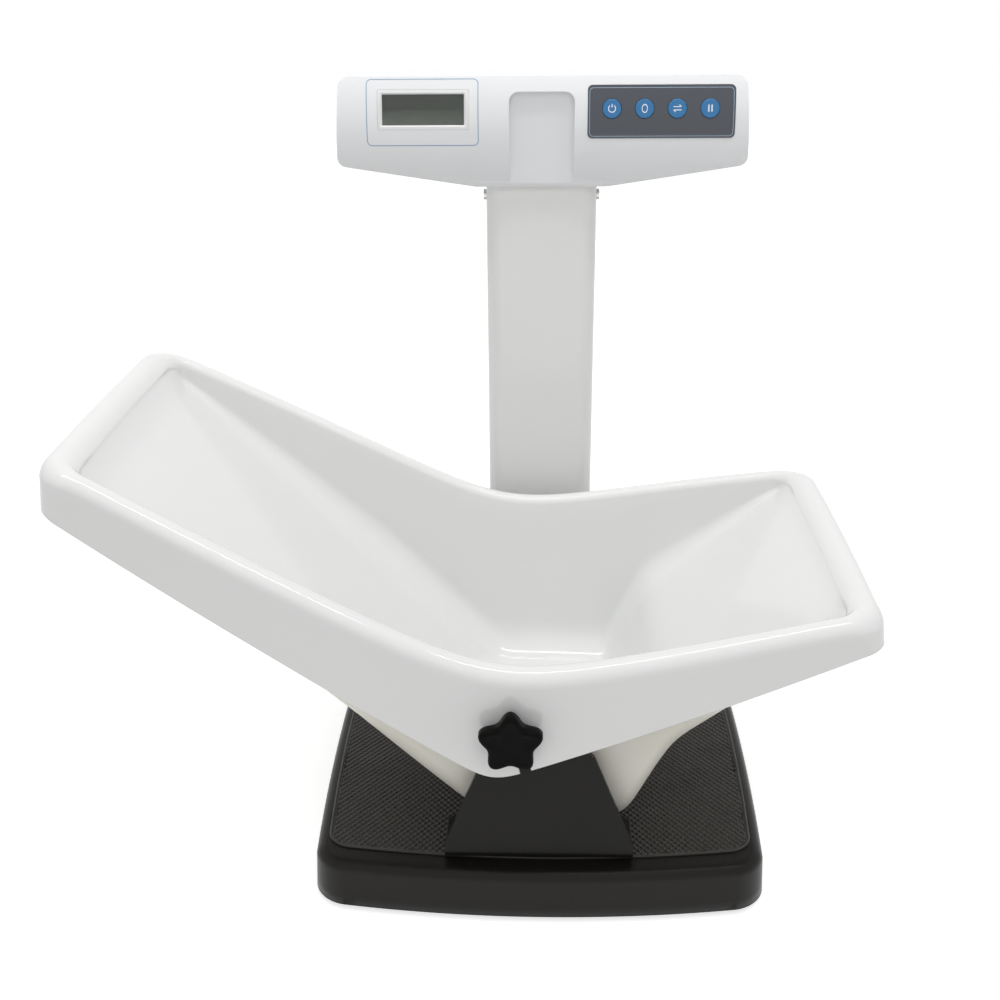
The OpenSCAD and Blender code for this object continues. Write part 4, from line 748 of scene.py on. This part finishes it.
def bow(bm, radius, width, low, high, first, turn, squeeze=1.0):
    """Round stroke of a key mark, a full ring where turn is 360."""
    start = Matrix.Rotation(math.radians(first), 4, "Z")
    start = start @ Matrix.Translation((radius, 0, (low + high) / 2))
    upright = Matrix.Rotation(math.pi / 2, 4, "X") @ Matrix.Diagonal((width, high - low, 1.0, 1.0))
    where = start @ upright
    made = bmesh.ops.create_grid(bm, x_segments=1, y_segments=1, size=0.5, matrix=where)["verts"]
    geom = parts_of(made, "link_faces") + parts_of(made, "link_edges") + made
    bmesh.ops.spin(bm, geom=geom, cent=(0, 0, 0), axis=(0, 0, 1), angle=math.radians(turn), steps=32,
                   use_merge=turn == 360)
    if turn == 360:
        bmesh.ops.delete(bm, geom=[f for f in bm.faces if all(len(e.link_faces) > 2 for e in f.edges)],
                         context="FACES_ONLY")
    bmesh.ops.scale(bm, verts=bm.verts, vec=(squeeze, 1.0, 1.0))


def make_marks():
    """Plain signs on the keys: power, zero, change over and hold."""
    low, high = 1.0, 1.26
    for i, name in enumerate(("power", "zero", "units", "hold")):
        bm = bmesh.new()
        if name == "power":
            bow(bm, 2.9, 0.75, low, high, 125.0, 290.0)
            bar(bm, (0.0, 0.9), (0.0, 3.6), 0.75, low, high)
        elif name == "zero":
            bow(bm, 3.2, 0.85, low, high, 0.0, 360.0, 0.68)
        elif name == "units":
            for s in (1, -1):
                bar(bm, (-3.2 * s, 1.3 * s), (3.0 * s, 1.3 * s), 0.7, low, high)
                bar(bm, (1.6 * s, 2.8 * s), (3.2 * s, 1.4 * s), 0.7, low, high)
        else:
            for x in (-1.3, 1.3):
                bar(bm, (x, -2.6), (x, 2.6), 1.1, low, high)
        bmesh.ops.transform(bm, matrix=key_frame(KEY_X + i * KEY_PITCH), verts=bm.verts)
        bmesh.ops.recalc_face_normals(bm, faces=bm.faces)
        place(bm)
        piece(name + "_mark", bm, [mark_white], name + "_button", (), 40)


# ---------- making everything ----------

make_tray()
make_base()
make_mat()
make_knob()
for side in ("front", "rear"):
    dressed(side + "_bracket", bracket_black, "stand", 0.7)
dressed("column", column_paint, "stand", 0.5, 2)
dressed("head_front_shell", head_white, "stand", 1.4, 4, 28)
dressed("head_rear_shell", head_white, "stand", 0.5, 2, 40)
dressed("display_bezel", bezel_white, "stand", 0.4, 3)
dressed("keypad_film", film_slate, "stand", 0.12, 2)
dressed("battery_door", head_white, "battery_lid", 0.4, 2)
for key in ("power", "zero", "units", "hold"):
    dressed(key + "_key", key_blue, key + "_button", 0.5, 3)
make_outlines()
make_marks()

# ---------- camera, light and floor ----------

CAMERA_AT = (-1.3, -926.4, 668.9)
CAMERA_TURN = (23.355, -1.878, -0.489)  # pitch, yaw and roll in degrees
CAMERA_LENS = 46.08
FLOOR_GLOW, SKY_LIGHT = 0.68, 0.49


def make_camera():
    """Camera of the photo, as fitted to the tray's rim, the column and the platform."""
    pitch, yaw, roll = (math.radians(v) for v in CAMERA_TURN)
    ahead = Vector((math.sin(yaw) * math.cos(pitch), math.cos(yaw) * math.cos(pitch), -math.sin(pitch)))
    level = Vector((math.cos(yaw), -math.sin(yaw), 0.0))
    upward = level.cross(ahead)
    right = math.cos(roll) * level + math.sin(roll) * upward
    up = math.cos(roll) * upward - math.sin(roll) * level
    data = bpy.data.cameras.new("camera")
    data.lens, data.sensor_width = CAMERA_LENS, 36.0
    data.clip_start, data.clip_end = 0.05, 50.0
    camera = bpy.data.objects.new("camera", data)
    bpy.context.scene.collection.objects.link(camera)
    turn = Matrix((right, up, -ahead)).transposed().to_4x4()
    where = (Vector(CAMERA_AT) + SHIFT) * MM
    camera.matrix_world = Matrix.Translation(where) @ turn
    bpy.context.scene.camera = camera


def softbox(name, place_at, aim, size_x, size_y, power, mirrored=False):
    """Soft lamp in metres and watts; only a mirrored one shows in glossy surfaces."""
    data = bpy.data.lights.new(name, "AREA")
    data.shape = "RECTANGLE"
    data.size, data.size_y = size_x, size_y
    data.energy = power
    lamp = bpy.data.objects.new(name, data)
    bpy.context.scene.collection.objects.link(lamp)
    way = Vector(aim) - Vector(place_at)
    lamp.rotation_euler = way.to_track_quat("-Z", "Y").to_euler()
    lamp.location = place_at
    lamp.visible_glossy = mirrored


def plain_rays(nodes, links):
    """1 for rays from the camera, off a gloss or through a clear part; 0 for the rest."""
    path = nodes.new("ShaderNodeLightPath")
    total = path.outputs["Is Camera Ray"]
    for kind in ("Is Glossy Ray", "Is Transmission Ray"):
        larger = nodes.new("ShaderNodeMath")
        larger.operation = "MAXIMUM"
        links.new(total, larger.inputs[0])
        links.new(path.outputs[kind], larger.inputs[1])
        total = larger.outputs["Value"]
    return total


def make_floor():
    """Wide white floor that keeps the part's shadow."""
    bm = bmesh.new()
    bmesh.ops.create_circle(bm, cap_ends=True, segments=96, radius=4.0)
    mesh = bpy.data.meshes.new("floor")
    bm.to_mesh(mesh)
    bm.free()
    floor = bpy.data.objects.new("floor", mesh)
    bpy.context.scene.collection.objects.link(floor)
    white, nodes, links, shader, coords = material("white floor", (0.8, 0.8, 0.8), 0.9)
    tone = spread(nodes, links, noise(nodes, links, coords, 3.0), 0.78, 0.82)
    paint = blend_colors(nodes, links, tone, (0.8, 0.8, 0.8), (0.82, 0.82, 0.82))
    links.new(paint, shader.inputs["Base Color"])
    glow = nodes.new("ShaderNodeEmission")
    glow.inputs["Color"].default_value = (1.0, 1.0, 1.0, 1.0)
    strength = spread(nodes, links, plain_rays(nodes, links), 0.0, FLOOR_GLOW, 0.0, 1.0)
    links.new(strength, glow.inputs["Strength"])
    total = nodes.new("ShaderNodeAddShader")
    links.new(shader.outputs["BSDF"], total.inputs[0])
    links.new(glow.outputs["Emission"], total.inputs[1])
    links.new(total.outputs["Shader"], nodes["Material Output"].inputs["Surface"])
    mesh.materials.append(white)


def make_world():
    """Even white sky: full strength where it is seen, lower as a light."""
    world = bpy.data.worlds.new("studio")
    bpy.context.scene.world = world
    world.use_nodes = True
    nodes, links = world.node_tree.nodes, world.node_tree.links
    sky = nodes["Background"]
    sky.inputs["Color"].default_value = (1.0, 1.0, 1.0, 1.0)
    strength = nodes.new("ShaderNodeMapRange")
    strength.inputs["To Min"].default_value = SKY_LIGHT
    strength.inputs["To Max"].default_value = 1.0
    links.new(plain_rays(nodes, links), strength.inputs["Value"])
    links.new(strength.outputs["Result"], sky.inputs["Strength"])


make_camera()
softbox("overhead strip", (0.05, -0.12, 1.9), (0.05, -0.08, 0.0), 1.7, 0.1, 7.5, True)
softbox("overhead", (0.05, 0.0, 1.8), (0.05, 0.05, 0.2), 1.8, 0.5, 7.5)
softbox("high front", (0.31, -1.15, 1.95), (0.1, 0.0, 0.4), 1.0, 0.55, 6.0)
softbox("front fill", (-0.6, -2.4, 1.2), (0.0, 0.0, 0.3), 1.6, 1.2, 4.5)
make_floor()
make_world()
bpy.context.scene.view_settings.view_transform = "Standard"
